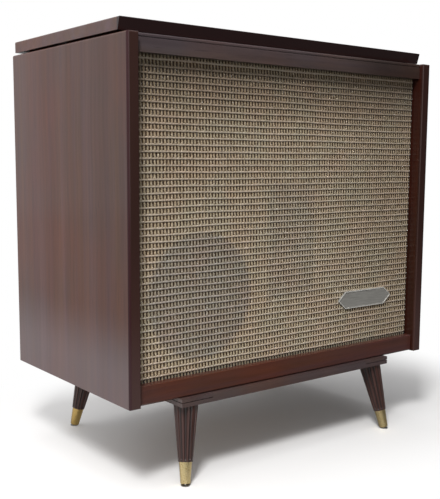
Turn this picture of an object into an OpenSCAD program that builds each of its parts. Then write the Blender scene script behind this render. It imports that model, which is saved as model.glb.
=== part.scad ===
// Lift-lid record console on splayed, fluted legs: a record changer and its controls under the
// lid, loudspeakers behind a full-width woven grille. Millimetres, +Z up.
// The origin is on the floor under the middle of the footprint, and the grille faces -Y.

/* [Carcass] */
// Width over the two side panels
body_w = 712; // [690:1:740]
// Depth of the side panels
body_d = 413; // [405:1:425]
// Height of the side panels
body_h = 588; // [580:1:600]
// Height of the carcass's underside above the floor
leg_clear = 149; // [135:1:165]
// Thickness of the side panels
panel_t = 20.5; // [18:0.5:22]
// Radius on the side panels' front and top edges
edge_r = 3.5; // [2:0.5:4.5]

/* [Front] */
// Set-back of the top and bottom rails behind the side panels
rail_setback = 10; // [8:0.5:12]
// Set-back of the grille cloth behind the side panels
grille_setback = 24; // [22:0.5:28]
// Height of the top rail's face
top_rail_h = 29; // [26:1:34]
// Height of the bottom rail
bottom_rail_h = 33; // [28:1:38]
// Thickness of the grille cloth
cloth_t = 1.6; // [1.2:0.1:2]
// Thickness of the baffle board
baffle_t = 12; // [10:1:15]
// Width of the plaque on the grille
plaque_w = 150; // [120:1:160]
// Height of the plaque on the grille
plaque_h = 34; // [26:1:40]

/* [Loudspeakers] */
// Diameter of the woofer's opening in the baffle
woofer_hole_d = 216; // [200:1:220]
// Woofer's centre, left of the middle
woofer_x = -199; // [-201:1:-185]
// Woofer's centre above the carcass's underside
woofer_up = 166; // [160:1:180]
// Width of the two oblong openings
oblong_w = 107; // [100:1:112]
// Middle of the oblong openings
oblong_x = 6.5; // [0:0.5:12]

/* [Lid] */
// Thickness of the lid
lid_t = 20; // [18:0.5:22]
// Gap between the carcass and the lid
lid_gap = 4; // [4:0.5:5]
// Set-back of the lid's top front edge behind the side panels' front edges
lid_setback = 26; // [24:1:30]
// How far the lid's front edge slants back on its way down
lid_undercut = 6; // [3:1:8]
// Angle of the raised lid, used by the stay's track
lid_open = 68; // [60:1:70]
// Length of the stay arm between its pins
stay_len = 150; // [140:1:152]

/* [Leg frame] */
// Width of the leg frame
frame_w = 509; // [490:1:530]
// Depth of the leg frame
frame_d = 392; // [380:1:396]
// Thickness of the frame's boards
frame_t = 14.5; // [14:0.5:19]
// Width of the frame's boards
board_w = 64; // [56:1:70]

/* [Legs] */
// Leg's axis at the frame, in from the frame's edges
leg_in = 25.4; // [24:0.2:30]
// Sideways splay of a leg, from the frame to the floor
splay_x = 20.2; // [12:0.1:26]
// Forward or backward splay of a leg, from the frame to the floor
splay_y = 27.1; // [12:0.1:30]
// Diameter of a leg under the frame
leg_top_d = 43.5; // [38:0.5:46]
// Diameter of a leg at its ferrule
leg_low_d = 25; // [23:0.5:27]
// Number of flutes round a leg
flutes = 12; // [8:1:14]
// Length of a ferrule
ferrule_len = 36; // [30:1:42]

/* [Record changer] */
// Diameter of the platter
platter_d = 267; // [250:1:270]
// Diameter of the spindle that records drop on
spindle_d = 7.2; // [7.1:0.05:7.25]
// Distance of the stylus from the tonearm's pivot
arm_len = 214.5; // [212:0.5:216]

/* [Controls] */
// Diameter of the four knobs
knob_d = 34; // [28:1:38]
// Distance between the knobs
knob_pitch = 56; // [46:1:58]

/* [Hidden] */

$fn = 64;
EPS = 0.01;      // overlap that joins two shapes, or runs a cutter through a face
FIT = 0.05;      // radial running clearance of a shaft in its hole
LOOSE = 0.1;     // radial clearance of a screw or stud in its hole

// Colours of the finishes
WOOD = "#5f3a30";
WOOD_DARK = "#3a2320";
PLY = "#a98a63";
HARDBOARD = "#6b4a33";
CLOTH = "#b9a37c";
BRASS = "#c8a85c";
STEEL = "#9a9a9c";
CREAM = "#d8cfb8";
BLACK = "#262628";

// Carcass
base_z = leg_clear;
top_z = base_z + body_h;
shift_y = 3.8;                             // centres the footprint: the front feet stand forward
front_y = shift_y - body_d / 2;
back_y = shift_y + body_d / 2;
inner_x = body_w / 2 - panel_t;
rail_y = front_y + rail_setback;
grille_y = front_y + grille_setback;
baffle_y = grille_y + cloth_t;
baffle_back_y = baffle_y + baffle_t;
board_t = 12;
rear_recess = 7;                          // back panel's rebate, and the lid's rear set-back
rear_y = back_y - rear_recess;
rear_rail_t = 18;
rebate_w = 10;
well_d = 130;                             // depth of the deck below the carcass's top
deck_z = top_z - well_d;
deck_t = 18;
cap_h = 18;                               // part of the top rail that caps the baffle
baffle_low_z = base_z + board_t;
baffle_top_z = top_z - cap_h;
side_gap = 1;

// Back panel
back_t = 3.5;
back_top_z = deck_z + 13;
vent_d = 9;
vent_pitch = 24;
vent_cols = 22;
screw_r = 1.6;
screw_head_r = 4;
inlet_x = 250;
inlet_z = base_z + 46;
inlet_w = 26;
inlet_h = 16;

// Openings in the baffle
woofer_z = base_z + woofer_up;
woofer_rim_r = 107;
woofer_depth = 66;
horn_low_z = base_z + 216;
horn_high_z = base_z + 352;
tweeter_low_z = base_z + 146;
tweeter_high_z = base_z + 209;
plaque_x = 205;
plaque_z = base_z + 123;
plaque_t = 3;
stud_r = 1.2;
stud_x = 48;

// Lid, hinges and stay
lid_low_z = top_z + lid_gap;
lid_top_z = lid_low_z + lid_t;
lid_half_w = body_w / 2 - 2;
lid_rear_y = rear_y;
leaf_t = 1.3;
knuckle_r = 2.6;
hinge_y = lid_rear_y + 3;
hinge_z = top_z + lid_gap / 2;
hinge_x = 230;
hinge_len = 65;
knuckles = 5;
knuckle_gap = 0.3;
pin_r = 1.2;
leaf_d = 20;
bumper_x = 322;
bumper_r = 6;
stay_drop = 9;                            // stay's lid pin below the hinge's axis
stay_rest = 10;                           // angle between lid pin and track when closed
lid_pin_slope = asin(stay_drop / stay_len);
track_slope = lid_pin_slope + stay_rest;
track_near = 2 * stay_len * cos(stay_rest + lid_open);
track_far = 2 * stay_len * cos(stay_rest);
track_end = 14;                           // track beyond each end of the pin's travel
track_w = 16;
track_x = -inner_x + 3.5;
track_t = 2;
stay_x = track_x + track_t + 0.4;
stay_t = 2;
stay_w = 15;
stay_pin_r = 2.5;
slot_gap = 0.3;
bracket_x = stay_x + stay_t + 0.4;

// Leg frame and legs
frame_z = base_z - frame_t;
frame_y = front_y + 1.7;
lap_t = frame_t / 2;
lap_quirk_h = 1.2;                        // open joint line round the ends of the laps
lap_quirk_d = 4;
bolt_r = 4;
bolt_down = 34;
ferrule_lip = 3.8;                        // ferrule's end above the floor, on the leg's axis
ferrule_top_r = 11.3;
ferrule_low_r = 8.5;
ferrule_wall = 0.8;
glide_r = 7.6;
glide_t = 1.4;
nail_r = 1.6;
leg_x = frame_w / 2 - leg_in;
leg_front_y = frame_y + leg_in;
leg_rear_y = frame_y + frame_d - leg_in;
splay = norm([splay_x, splay_y]);
leg_tilt = atan2(splay, frame_z);
leg_axis = norm([splay, frame_z]);

// Record changer
plate_z = deck_z + 10;
plate_t = 1.5;
plate_low_x = -310;
plate_high_x = 45;
plate_low_y = -143;
plate_high_y = 167;
plate_cx = (plate_low_x + plate_high_x) / 2;
plate_cy = (plate_low_y + plate_high_y) / 2;
plate_w = plate_high_x - plate_low_x;
plate_d = plate_high_y - plate_low_y;
cut_in = 10;                              // deck's cut-out inside the plate's edge
platter_x = -165;
platter_y = 5;
platter_low_z = plate_z + 2.5;
platter_h = 16.5;
platter_wall = 2.5;
platter_top_z = platter_low_z + platter_h;
mat_t = 3;
mat_z = platter_top_z + mat_t;
hub_r = 16;
hub_h = 12;
post_r = 8;
spindle_top_z = mat_z + 68;
rim_in_r = platter_d / 2 - platter_wall;
idler_r = 16;
pulley_r = 4;
drive_gap = 0.3;                          // rubber's squeeze at the two friction drives
drive_angle = 235;
idler_reach = rim_in_r - idler_r;
idler_x = platter_x + idler_reach * cos(drive_angle);
idler_y = platter_y + idler_reach * sin(drive_angle);
pulley_angle = drive_angle + 130;
pulley_x = idler_x + (idler_r + pulley_r) * cos(pulley_angle);
pulley_y = idler_y + (idler_r + pulley_r) * sin(pulley_angle);
drive_z = plate_z + 4;
drive_h = 4;
motor_z = plate_z - 46;
stator = 62;
stator_h = 22;
rotor_r = 14;
rotor_shaft_r = 1.6;
shaft_bore_r = rotor_shaft_r + FIT;
record_z = mat_z + 2;                     // top of the first record
lever_at = [[-62, -114], [22, -88]];      // speed lever, function lever

// Tonearm
arm_x = 5;
arm_y = 115;
arm_pin_z = plate_z + 41;
arm_pin_r = 2;
swivel_r = 5;
yoke_w = 30;
rest_y = -52;
overarm_x = -285;
overarm_y = 146;
overarm_r = 4;
overarm_z = spindle_top_z + 1.5;

// Controls
panel_low_x = 85;
panel_high_x = 315;
panel_low_y = -145;
panel_high_y = -35;
panel_rise = 2;
knob_z = deck_z + panel_rise + 0.6;
knob_h = 18;
shaft_r = 3;
bush_r = 4.8;
knob_x = (panel_low_x + panel_high_x) / 2;
knob_y = -90;

// Amplifier
amp_low_x = 70;
amp_w = 240;
amp_low_y = -20;
amp_d = 130;
amp_h = 50;
amp_t = 1.2;
amp_z = base_z + board_t;
amp_top_z = amp_z + amp_h;
valve_at = [[150, 70], [190, 70], [230, 70], [270, 70]];
valve_r = [15, 15, 11, 11];

// ---------------------------------------------------------------- shared shapes

// Rectangle centred on the origin with round corners
module rounded(w, d, r) {
    square([w - 2 * r, d], center = true);
    square([w, d - 2 * r], center = true);
    for (sx = [-1, 1], sy = [-1, 1])
        translate([sx * (w / 2 - r), sy * (d / 2 - r)]) circle(r);
}

// Bar with round ends between two points
module link(a, b, r) {
    d = b - a;
    translate(a) rotate(atan2(d[1], d[0])) {
        circle(r);
        translate([norm(d), 0]) circle(r);
        translate([0, -r]) square([norm(d), 2 * r]);
    }
}

// Cutter that rounds off an outer corner whose arc is centred on the origin
module round_off(r) {
    difference() {
        square(r + 1);
        circle(r);
    }
}

// A drawing in the YZ plane, extruded from x towards +X
module slab_x(x, t) {
    translate([x, 0, 0]) rotate([90, 0, 90]) linear_extrude(t) children();
}

// A drawing in the XZ plane, extruded from y towards +Y
module slab_y(y, t) {
    translate([0, y + t, 0]) rotate([90, 0, 0]) linear_extrude(t) children();
}

// Places a child at each leg's foot, with +Z up the leg's axis; k counts the legs
module at_leg(k) {
    sx = (k % 2 == 0) ? -1 : 1;
    sy = (k < 2) ? -1 : 1;
    top_y = (k < 2) ? leg_front_y : leg_rear_y;
    translate([sx * (leg_x + splay_x), top_y + sy * splay_y, 0])
        rotate([0, leg_tilt, atan2(-sy * splay_y, -sx * splay_x)]) children();
}

// ---------------------------------------------------------------- carcass

// Board with its outer edges eased, drawn for the left side
module side_panel() {
    r = edge_r;
    difference() {
        intersection() {
            translate([-body_w / 2, front_y, base_z]) linear_extrude(body_h) {
                translate([0, r]) square([panel_t, body_d - r]);
                translate([r, 0]) square([panel_t - 1.6 * r, 2 * r]);
                translate([r, r]) circle(r);
                translate([panel_t - 0.6 * r, 0.6 * r]) circle(0.6 * r);
            }
            slab_y(front_y, body_d) translate([-body_w / 2, base_z]) {
                square([panel_t, body_h - r]);
                translate([r, 0]) square([panel_t - 1.6 * r, body_h]);
                translate([r, body_h - r]) circle(r);
                translate([panel_t - 0.6 * r, body_h - r]) scale([0.6, 1]) circle(r);
            }
            slab_x(-body_w / 2, panel_t) translate([front_y, base_z]) {
                translate([r, 0]) square([body_d - r, body_h]);
                translate([0, 1.5]) square([2 * r, body_h - 1.5 - r]);
                translate([r, body_h - r]) circle(r);
                translate([1.5, 1.5]) circle(1.5);
            }
        }
        translate([-inner_x - rebate_w, rear_y, base_z - EPS])
            cube([rebate_w + EPS, rear_recess + EPS, body_h - cap_h]);
        back_screw_holes(screw_r + FIT);
    }
}

module side_panel_left() {
    color(WOOD) difference() {
        side_panel();
        translate([-inner_x - 9, 0, 0]) track_screws(1.3);
    }
}

module side_panel_right() { color(WOOD) mirror([1, 0, 0]) side_panel(); }

// Rail with a rounded nose and a quirk under it, and a cap that covers the baffle's edge
module top_rail() {
    nose_r = 3;
    quirk_r = 1.1;
    color(WOOD) slab_x(-inner_x, 2 * inner_x) difference() {
        union() {
            translate([rail_y, top_z - top_rail_h])
                square([grille_y - rail_y, top_rail_h - nose_r]);
            translate([rail_y + nose_r, top_z - cap_h])
                square([baffle_back_y + 8 - rail_y - nose_r, cap_h]);
            translate([rail_y + nose_r, top_z - nose_r]) circle(nose_r);
        }
        translate([rail_y, top_z - 2 * nose_r]) circle(quirk_r);
        translate([baffle_back_y + 8, top_z]) circle(1.5);
    }
}

// Rail with its lower front edge bevelled
module bottom_rail() {
    bevel = 3;
    color(WOOD) slab_x(-inner_x, 2 * inner_x) polygon([
        [rail_y, base_z + bevel], [rail_y + bevel, base_z], [grille_y, base_z],
        [grille_y, base_z + bottom_rail_h], [rail_y + 1, base_z + bottom_rail_h],
        [rail_y, base_z + bottom_rail_h - 1]]);
}

module bottom_board() {
    slots = 5;
    color(PLY) difference() {
        translate([-inner_x, grille_y, base_z]) cube([2 * inner_x, rear_y - grille_y, board_t]);
        for (i = [0 : slots - 1])
            translate([72 + i * 26, 45, base_z - EPS]) linear_extrude(board_t + 1)
                link([0, -40], [0, 40], 5);
        back_screw_holes(screw_r + FIT);
        leg_bolts(LOOSE);
    }
}

module deck_board() {
    color(WOOD_DARK) difference() {
        translate([-inner_x, baffle_back_y, deck_z - deck_t])
            cube([2 * inner_x, rear_y - rear_rail_t - baffle_back_y, deck_t]);
        translate([plate_cx, plate_cy, deck_z - deck_t - 1]) linear_extrude(deck_t + 2)
            rounded(plate_w - 2 * cut_in, plate_d - 2 * cut_in, 12);
        translate([knob_x, knob_y, deck_z - deck_t - 1]) linear_extrude(deck_t + 2)
            rounded(3 * knob_pitch + 40, 46, 8);
    }
}

module rear_rail() {
    color(WOOD_DARK) difference() {
        translate([-inner_x, rear_y - rear_rail_t, deck_z - 2 * deck_t])
            cube([2 * inner_x, rear_rail_t, well_d + 2 * deck_t]);
        back_screw_holes(screw_r + FIT);
    }
}

// Places of the back panel's screws in the XZ plane: top and bottom rows, then the sides
back_screw_at = concat(
    [for (x = [-300, 0, 300], z = [base_z + board_t / 2, deck_z]) [x, z]],
    [for (sx = [-1, 1], z = [base_z + 160, base_z + 320]) [sx * (inner_x + 4.5), z]]);

module back_screw_holes(r) {
    for (p = back_screw_at)
        translate([p[0], rear_y + back_t + 1, p[1]]) rotate([90, 0, 0]) cylinder(h = 16.1, r = r);
}

module back_panel() {
    half = inner_x + rebate_w - 0.5;
    low_z = base_z + 1;
    color(HARDBOARD) slab_y(rear_y, back_t) difference() {
        translate([-half, low_z]) square([2 * half, back_top_z - low_z]);
        for (i = [0 : vent_cols - 1], z = [base_z + 110, base_z + 134, base_z + 370, base_z + 394])
            translate([(i - (vent_cols - 1) / 2) * vent_pitch, z]) circle(vent_d / 2);
        for (p = back_screw_at)
            translate(p) circle(screw_r + LOOSE);
        translate([inlet_x, inlet_z]) rounded(inlet_w + 0.4, inlet_h + 0.4, 3.2);
    }
}

module back_panel_screws() {
    color(STEEL) for (p = back_screw_at)
        translate([p[0], rear_y + back_t, p[1]]) rotate([90, 0, 0]) difference() {
            union() {
                translate([0, 0, -2.2]) cylinder(h = 2.2, r1 = 2.6, r2 = screw_head_r);
                cylinder(h = 14, r = screw_r);
            }
            translate([-5, -0.5, -3]) cube([10, 1, 1.8]);
        }
}

// Cleats under the deck, strips behind the baffle and triangular blocks on the bottom board
module glue_blocks() {
    cleat = 18;
    strip = 12;
    deck_low = deck_z - deck_t;
    color(PLY) for (side = [0, 1]) mirror([side, 0, 0]) {
        translate([-inner_x, baffle_back_y + 2, deck_low - cleat])
            cube([cleat, rear_y - rear_rail_t - baffle_back_y - 4, cleat]);
        translate([-inner_x, baffle_back_y, base_z + 292])
            cube([strip, strip, deck_low - cleat - base_z - 294]);
        translate([-inner_x, baffle_back_y, base_z + board_t])
            cube([strip, strip, 24]);
        slab_y(baffle_back_y + 40, 240) translate([-inner_x, base_z + board_t])
            polygon([[0, 0], [cleat, 0], [0, cleat]]);
    }
}

module baffle_board() {
    half = inner_x - side_gap;
    color(PLY) slab_y(baffle_y, baffle_t) difference() {
        translate([-half, baffle_low_z]) square([2 * half, baffle_top_z - baffle_low_z]);
        translate([woofer_x, woofer_z]) circle(woofer_hole_d / 2);
        oblong(horn_low_z, horn_high_z);
        oblong(tweeter_low_z, tweeter_high_z);
        plaque_studs(LOOSE);
    }
}

module oblong(low, high) {
    translate([oblong_x - oblong_w / 2, low]) square([oblong_w, high - low]);
}

module plaque_studs(gap) {
    for (s = [-1, 1])
        translate([plaque_x + s * stud_x, plaque_z]) circle(stud_r + gap);
}

module grille_cloth() {
    half = inner_x - side_gap;
    color(CLOTH) slab_y(grille_y, cloth_t) difference() {
        translate([-half, baffle_low_z]) square([2 * half, baffle_top_z - baffle_low_z]);
        plaque_studs(LOOSE);
    }
}

// Six-sided plate with a raised rim and a bare field
module grille_plaque() {
    point = 20;
    rim = 1.6;
    color(STEEL) union() {
        slab_y(grille_y - plaque_t, plaque_t) difference() {
            plaque_outline(0, point);
            plaque_outline(rim, point);
        }
        slab_y(grille_y - plaque_t + 0.8, plaque_t - 0.8) plaque_outline(rim - EPS, point);
        slab_y(grille_y - EPS, 10) plaque_studs(0);
    }
}

module plaque_outline(inset, point) {
    w = plaque_w / 2 - 1.4 * inset;
    h = plaque_h / 2 - inset;
    flat = w - point * h / (plaque_h / 2);
    translate([plaque_x, plaque_z])
        polygon([[-w, 0], [-flat, h], [flat, h], [w, 0], [flat, -h], [-flat, -h]]);
}

// ---------------------------------------------------------------- leg frame and legs

// Front or rear board: full thickness between the laps, lower half at both ends
module long_board(y) {
    difference() {
        union() {
            translate([-frame_w / 2, y, frame_z]) cube([frame_w, board_w, lap_t]);
            translate([-frame_w / 2 + board_w, y, frame_z])
                cube([frame_w - 2 * board_w, board_w, frame_t]);
        }
        leg_bolts(LOOSE);
    }
}

// Left or right board: full thickness between the laps, upper half at both ends
module cross_board(x) {
    difference() {
        union() {
            translate([x, frame_y, frame_z + lap_t]) cube([board_w, frame_d, lap_t]);
            translate([x, frame_y + board_w, frame_z])
                cube([board_w, frame_d - 2 * board_w, frame_t]);
        }
        lap_quirks();
        leg_bolts(LOOSE);
    }
}

// Cutter for the joint lines on the frame's four sides, as long as the laps
module lap_quirks() {
    for (sx = [0, 1], sy = [0, 1]) mirror([sx, 0, 0])
        translate([-frame_w / 2, frame_y + sy * frame_d, frame_z + lap_t - EPS])
            mirror([0, sy, 0]) linear_extrude(lap_quirk_h + EPS) difference() {
                translate([-1, -1]) square(board_w + 1 - EPS);
                translate([lap_quirk_d, lap_quirk_d]) square(board_w);
            }
}

module frame_front_board() { color(WOOD) long_board(frame_y); }
module frame_rear_board() { color(WOOD) long_board(frame_y + frame_d - board_w); }
module frame_left_board() { color(WOOD) cross_board(-frame_w / 2); }
module frame_right_board() { color(WOOD) cross_board(frame_w / 2 - board_w); }

// Hanger bolts, from inside each leg up to the bottom board
module leg_bolts(gap) {
    for (k = [0 : 3])
        at_leg(k) translate([0, 0, leg_axis - bolt_down - gap])
            cylinder(h = bolt_down + frame_t + 4 + 2 * gap, r = bolt_r + gap);
}

// Turned taper with round-bottomed flutes, cut flat under the frame; a tenon enters the ferrule
module leg(k) {
    shoulder = ferrule_lip + ferrule_len;
    run = leg_axis - shoulder;
    slope = (leg_top_d - leg_low_d) / 2 / run;
    flute_top_r = PI * leg_top_d / flutes * 0.36;
    flute_low_r = PI * leg_low_d / flutes * 0.36;
    color(WOOD_DARK) intersection() {
        at_leg(k) difference() {
            union() {
                translate([0, 0, shoulder])
                    cylinder(h = run + 12, r1 = leg_low_d / 2,
                             r2 = leg_low_d / 2 + slope * (run + 12));
                translate([0, 0, ferrule_lip + 2])
                    cylinder(h = ferrule_len - 2 + EPS, r1 = ferrule_low_r - ferrule_wall - 0.2,
                             r2 = ferrule_top_r - ferrule_wall - 0.2);
            }
            for (i = [0 : flutes - 1]) rotate(i * 360 / flutes)
                translate([leg_low_d / 2 + 0.45 * flute_low_r, 0, shoulder + 5])
                    rotate([0, atan(slope * 0.93), 0]) {
                        cylinder(h = run + 20, r1 = flute_low_r, r2 = flute_top_r);
                        sphere(flute_low_r);
                    }
            translate([0, 0, leg_axis - bolt_down - LOOSE])
                cylinder(h = bolt_down + 20, r = bolt_r + LOOSE);
            translate([0, 0, ferrule_lip]) cylinder(h = 14, r = nail_r + LOOSE);
        }
        translate([-body_w / 2, front_y - 20, 0]) cube([body_w, body_d + 40, frame_z]);
    }
}

module leg_front_left() { leg(0); }
module leg_front_right() { leg(1); }
module leg_rear_left() { leg(2); }
module leg_rear_right() { leg(3); }

// Tapered brass cups
module leg_ferrules() {
    color(BRASS) for (k = [0 : 3]) at_leg(k) translate([0, 0, ferrule_lip]) difference() {
        cylinder(h = ferrule_len, r1 = ferrule_low_r, r2 = ferrule_top_r);
        translate([0, 0, 1.2])
            cylinder(h = ferrule_len, r1 = ferrule_low_r - ferrule_wall,
                     r2 = ferrule_top_r - ferrule_wall);
        translate([0, 0, -1]) cylinder(h = 4, r = nail_r + LOOSE);
    }
}

// Hanger bolts, and glides whose flat discs lie on the floor
module leg_fixings() {
    color(STEEL) {
        difference() {
            leg_bolts(0);
            translate([-body_w / 2, front_y, base_z + 1]) cube([body_w, body_d, 40]);
        }
        for (k = [0 : 3]) at_leg(k) {
            rotate([0, -leg_tilt, 0]) cylinder(h = glide_t, r = glide_r);
            translate([0, 0, 0.6]) cylinder(h = 15, r = nail_r);
        }
    }
}

// ---------------------------------------------------------------- lid, hinges and stay

// Slab whose front edge slants back on its way down
module lid_panel() {
    y0 = front_y + lid_setback;
    soft = 2.5;
    color(WOOD_DARK) difference() {
        slab_x(-lid_half_w, 2 * lid_half_w)
            polygon([[y0, lid_top_z], [lid_rear_y, lid_top_z], [lid_rear_y, lid_low_z],
                     [y0 + lid_undercut, lid_low_z]]);
        slab_x(-lid_half_w - 1, 2 * lid_half_w + 2)
            translate([y0 + soft, lid_top_z - soft]) mirror([1, 0]) round_off(soft);
        for (s = [0, 1]) mirror([s, 0, 0]) slab_y(front_y, body_d + 1)
            translate([lid_half_w - soft, lid_top_z - soft]) round_off(soft);
    }
}

// One leaf: a plate, its knuckles (every second one from first) and the pin's bore
module leaf(plate_z, first) {
    pitch = hinge_len / knuckles;
    difference() {
        union() {
            translate([-hinge_len / 2, hinge_y - leaf_d, plate_z])
                cube([hinge_len, leaf_d, leaf_t]);
            for (i = [first : 2 : knuckles - 1])
                slab_x(-hinge_len / 2 + i * pitch + knuckle_gap / 2, pitch - knuckle_gap)
                    translate([hinge_y, hinge_z]) circle(knuckle_r);
        }
        for (i = [1 - first : 2 : knuckles - 1])
            slab_x(-hinge_len / 2 + i * pitch - knuckle_gap / 2, pitch + knuckle_gap)
                translate([hinge_y, hinge_z]) circle(knuckle_r + 0.5);
        slab_x(-hinge_len, 2 * hinge_len) translate([hinge_y, hinge_z]) circle(pin_r + FIT);
    }
}

module hinge_fixed_leaves() {
    color(BRASS) for (s = [-1, 1]) translate([s * hinge_x, 0, 0]) leaf(top_z, 0);
}

module hinge_moving_leaves() {
    color(BRASS) for (s = [-1, 1]) translate([s * hinge_x, 0, 0])
        leaf(lid_low_z - leaf_t, 1);
}

module hinge_pins() {
    color(STEEL) for (s = [-1, 1]) translate([s * hinge_x, 0, 0]) {
        slab_x(-hinge_len / 2 - 1, hinge_len + 2) translate([hinge_y, hinge_z]) circle(pin_r);
        for (x = [-hinge_len / 2 - 1.8, hinge_len / 2 + 0.8])
            slab_x(x, 1) translate([hinge_y, hinge_z]) circle(2);
    }
}

module lid_bumpers() {
    color(BLACK) for (x = [-bumper_x, bumper_x], y = [grille_y + 14.6, rear_y - 9])
        translate([x, y, top_z]) cylinder(h = lid_gap, r = bumper_r);
}

// A point on the track's line, at a distance from the hinge's axis, in the YZ plane
function on_track(s) = [hinge_y - s * cos(track_slope), hinge_z - s * sin(track_slope)];
lid_pin = [hinge_y - stay_len * cos(lid_pin_slope), hinge_z - stay_drop];
rest_pin = on_track(track_far);

module track_screws(r) {
    for (s = [track_near - track_end - 8, track_far + track_end + 8])
        slab_x(0, 20) translate(on_track(s)) circle(r);
}

// Slotted steel strip on two feet; its line passes through the hinge's axis
module stay_track() {
    near = track_near - track_end - 10;
    far = track_far + track_end + 10;
    color(STEEL) difference() {
        union() {
            slab_x(track_x, track_t) link(on_track(near), on_track(far), track_w / 2);
            for (s = [near + 1, far - 1])
                slab_x(-inner_x, 3.5 + EPS) translate(on_track(s)) circle(6);
        }
        slab_x(track_x - 1, track_t + 2) {
            link(on_track(track_near - 2), on_track(track_far + 2), stay_pin_r + slot_gap);
            translate(on_track(track_near)) rotate(-90 + track_slope)
                translate([0, 0.8]) circle(stay_pin_r + slot_gap);
        }
        translate([-inner_x - 0.1, 0, 0]) track_screws(1.4);
    }
}

// Flat arm with the headed pin that slides in the track
module stay_arm() {
    color(STEEL) difference() {
        union() {
            slab_x(stay_x, stay_t) link(lid_pin, rest_pin, stay_w / 2);
            slab_x(track_x - 0.8, stay_x - track_x + 1) translate(rest_pin) circle(stay_pin_r);
            slab_x(track_x - 2.6, 2.1) translate(rest_pin) circle(4.6);
        }
        slab_x(stay_x - 1, stay_t + 2) translate(lid_pin) circle(stay_pin_r + FIT);
    }
}

// Angle plate under the lid with the stay's upper pin
module stay_bracket() {
    t = 2;
    color(STEEL) {
        slab_x(bracket_x, t) {
            translate(lid_pin) circle(7.5);
            translate([lid_pin[0] - 7.5, lid_pin[1]]) square([15, lid_low_z - lid_pin[1]]);
        }
        translate([bracket_x, lid_pin[0] - 20, lid_low_z - t]) cube([18, 40, t]);
        slab_x(stay_x - 0.2, bracket_x - stay_x + 0.4) translate(lid_pin) circle(stay_pin_r);
        slab_x(stay_x - 1.4, 1.3) translate(lid_pin) circle(4);
    }
}

// ---------------------------------------------------------------- record changer

module at_platter(z) { translate([platter_x, platter_y, z]) children(); }

// Pressed plate with a deep rim and a raised ring round the platter
module changer_plate() {
    color(CREAM) difference() {
        union() {
            translate([plate_cx, plate_cy, deck_z]) linear_extrude(plate_z - deck_z)
                difference() {
                    rounded(plate_w, plate_d, 14);
                    rounded(plate_w - 3, plate_d - 3, 12.5);
                }
            translate([plate_cx, plate_cy, plate_z - plate_t]) linear_extrude(plate_t)
                rounded(plate_w, plate_d, 14);
            translate([idler_x, idler_y, plate_z - EPS]) cylinder(h = drive_h + 6, r = 2);
            translate([overarm_x, overarm_y, plate_z - 12]) cylinder(h = 24, r = 8);
            for (p = lever_at) translate([p[0], p[1], plate_z - 8]) cylinder(h = 8, r = 6);
            at_platter(plate_z - EPS) rotate_extrude($fn = 96)
                translate([platter_d / 2 + 3, 0]) polygon([[0, 0], [4, 0], [3, 1.2], [1, 1.2]]);
        }
        translate([overarm_x, overarm_y, plate_z - 13]) cylinder(h = 26, r = overarm_r + FIT);
        for (p = lever_at)
            translate([p[0], p[1], plate_z - 9]) cylinder(h = 12, r = 2.5 + FIT);
        translate([pulley_x, pulley_y, plate_z - 4]) cylinder(h = 8, r = 12);
        translate([arm_x, arm_y, plate_z - 4]) cylinder(h = 8, r = swivel_r + 1);
        at_platter(plate_z - 4) cylinder(h = 8, r = post_r - 1);
    }
}

// Pan-shaped platter with a soft upper edge, and a hub on the fixed post
module platter() {
    r = platter_d / 2;
    lip = 2;
    color(STEEL) at_platter(0) rotate_extrude($fn = 96) {
        translate([post_r + FIT, platter_top_z - hub_h]) square([hub_r - post_r, hub_h]);
        translate([post_r + FIT, platter_top_z - platter_wall])
            square([r - post_r - FIT - lip, platter_wall]);
        translate([r - platter_wall, platter_low_z]) square([platter_wall, platter_h - lip]);
        translate([r - lip, platter_top_z - lip]) circle(lip);
    }
}

// Rubber mat with raised rings
module platter_mat() {
    r = platter_d / 2 - 7;
    color(BLACK) at_platter(platter_top_z) rotate_extrude($fn = 96) difference() {
        translate([post_r + 1, 0]) square([r - post_r - 1, mat_t]);
        for (i = [0 : 11])
            translate([24 + i * 8.4, mat_t - 0.8]) square([4.4, 1]);
        translate([r - 3, mat_t - 1.4]) square([4, 2]);
    }
}

// Bearing post, its thrust washer and the straight spindle with a tapered nose and three claws
module record_spindle() {
    r = spindle_d / 2;
    color(STEEL) at_platter(0) difference() {
        union() {
            translate([0, 0, plate_z - 10]) cylinder(h = 10 + EPS, r = post_r - 1.2);
            translate([0, 0, plate_z])
                cylinder(h = platter_top_z - hub_h - plate_z, r = hub_r - 2);
            translate([0, 0, plate_z]) cylinder(h = mat_z - plate_z - 0.8, r = post_r);
            translate([0, 0, plate_z]) cylinder(h = spindle_top_z - 8 - plate_z, r = r);
            translate([0, 0, spindle_top_z - 8 - EPS]) cylinder(h = 8, r1 = r, r2 = 1.4);
        }
        for (i = [0 : 2]) rotate(i * 120)
            translate([r - 0.7, -0.6, spindle_top_z - 24]) cube([2, 1.2, 13]);
    }
}

module idler_wheel() {
    color(BLACK) translate([idler_x, idler_y, 0]) difference() {
        union() {
            translate([0, 0, drive_z]) cylinder(h = drive_h, r = idler_r - drive_gap);
            translate([0, 0, drive_z - 1.5]) cylinder(h = drive_h + 4, r = 5);
        }
        translate([0, 0, drive_z - 2]) cylinder(h = drive_h + 6, r = 2 + FIT);
    }
}

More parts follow.
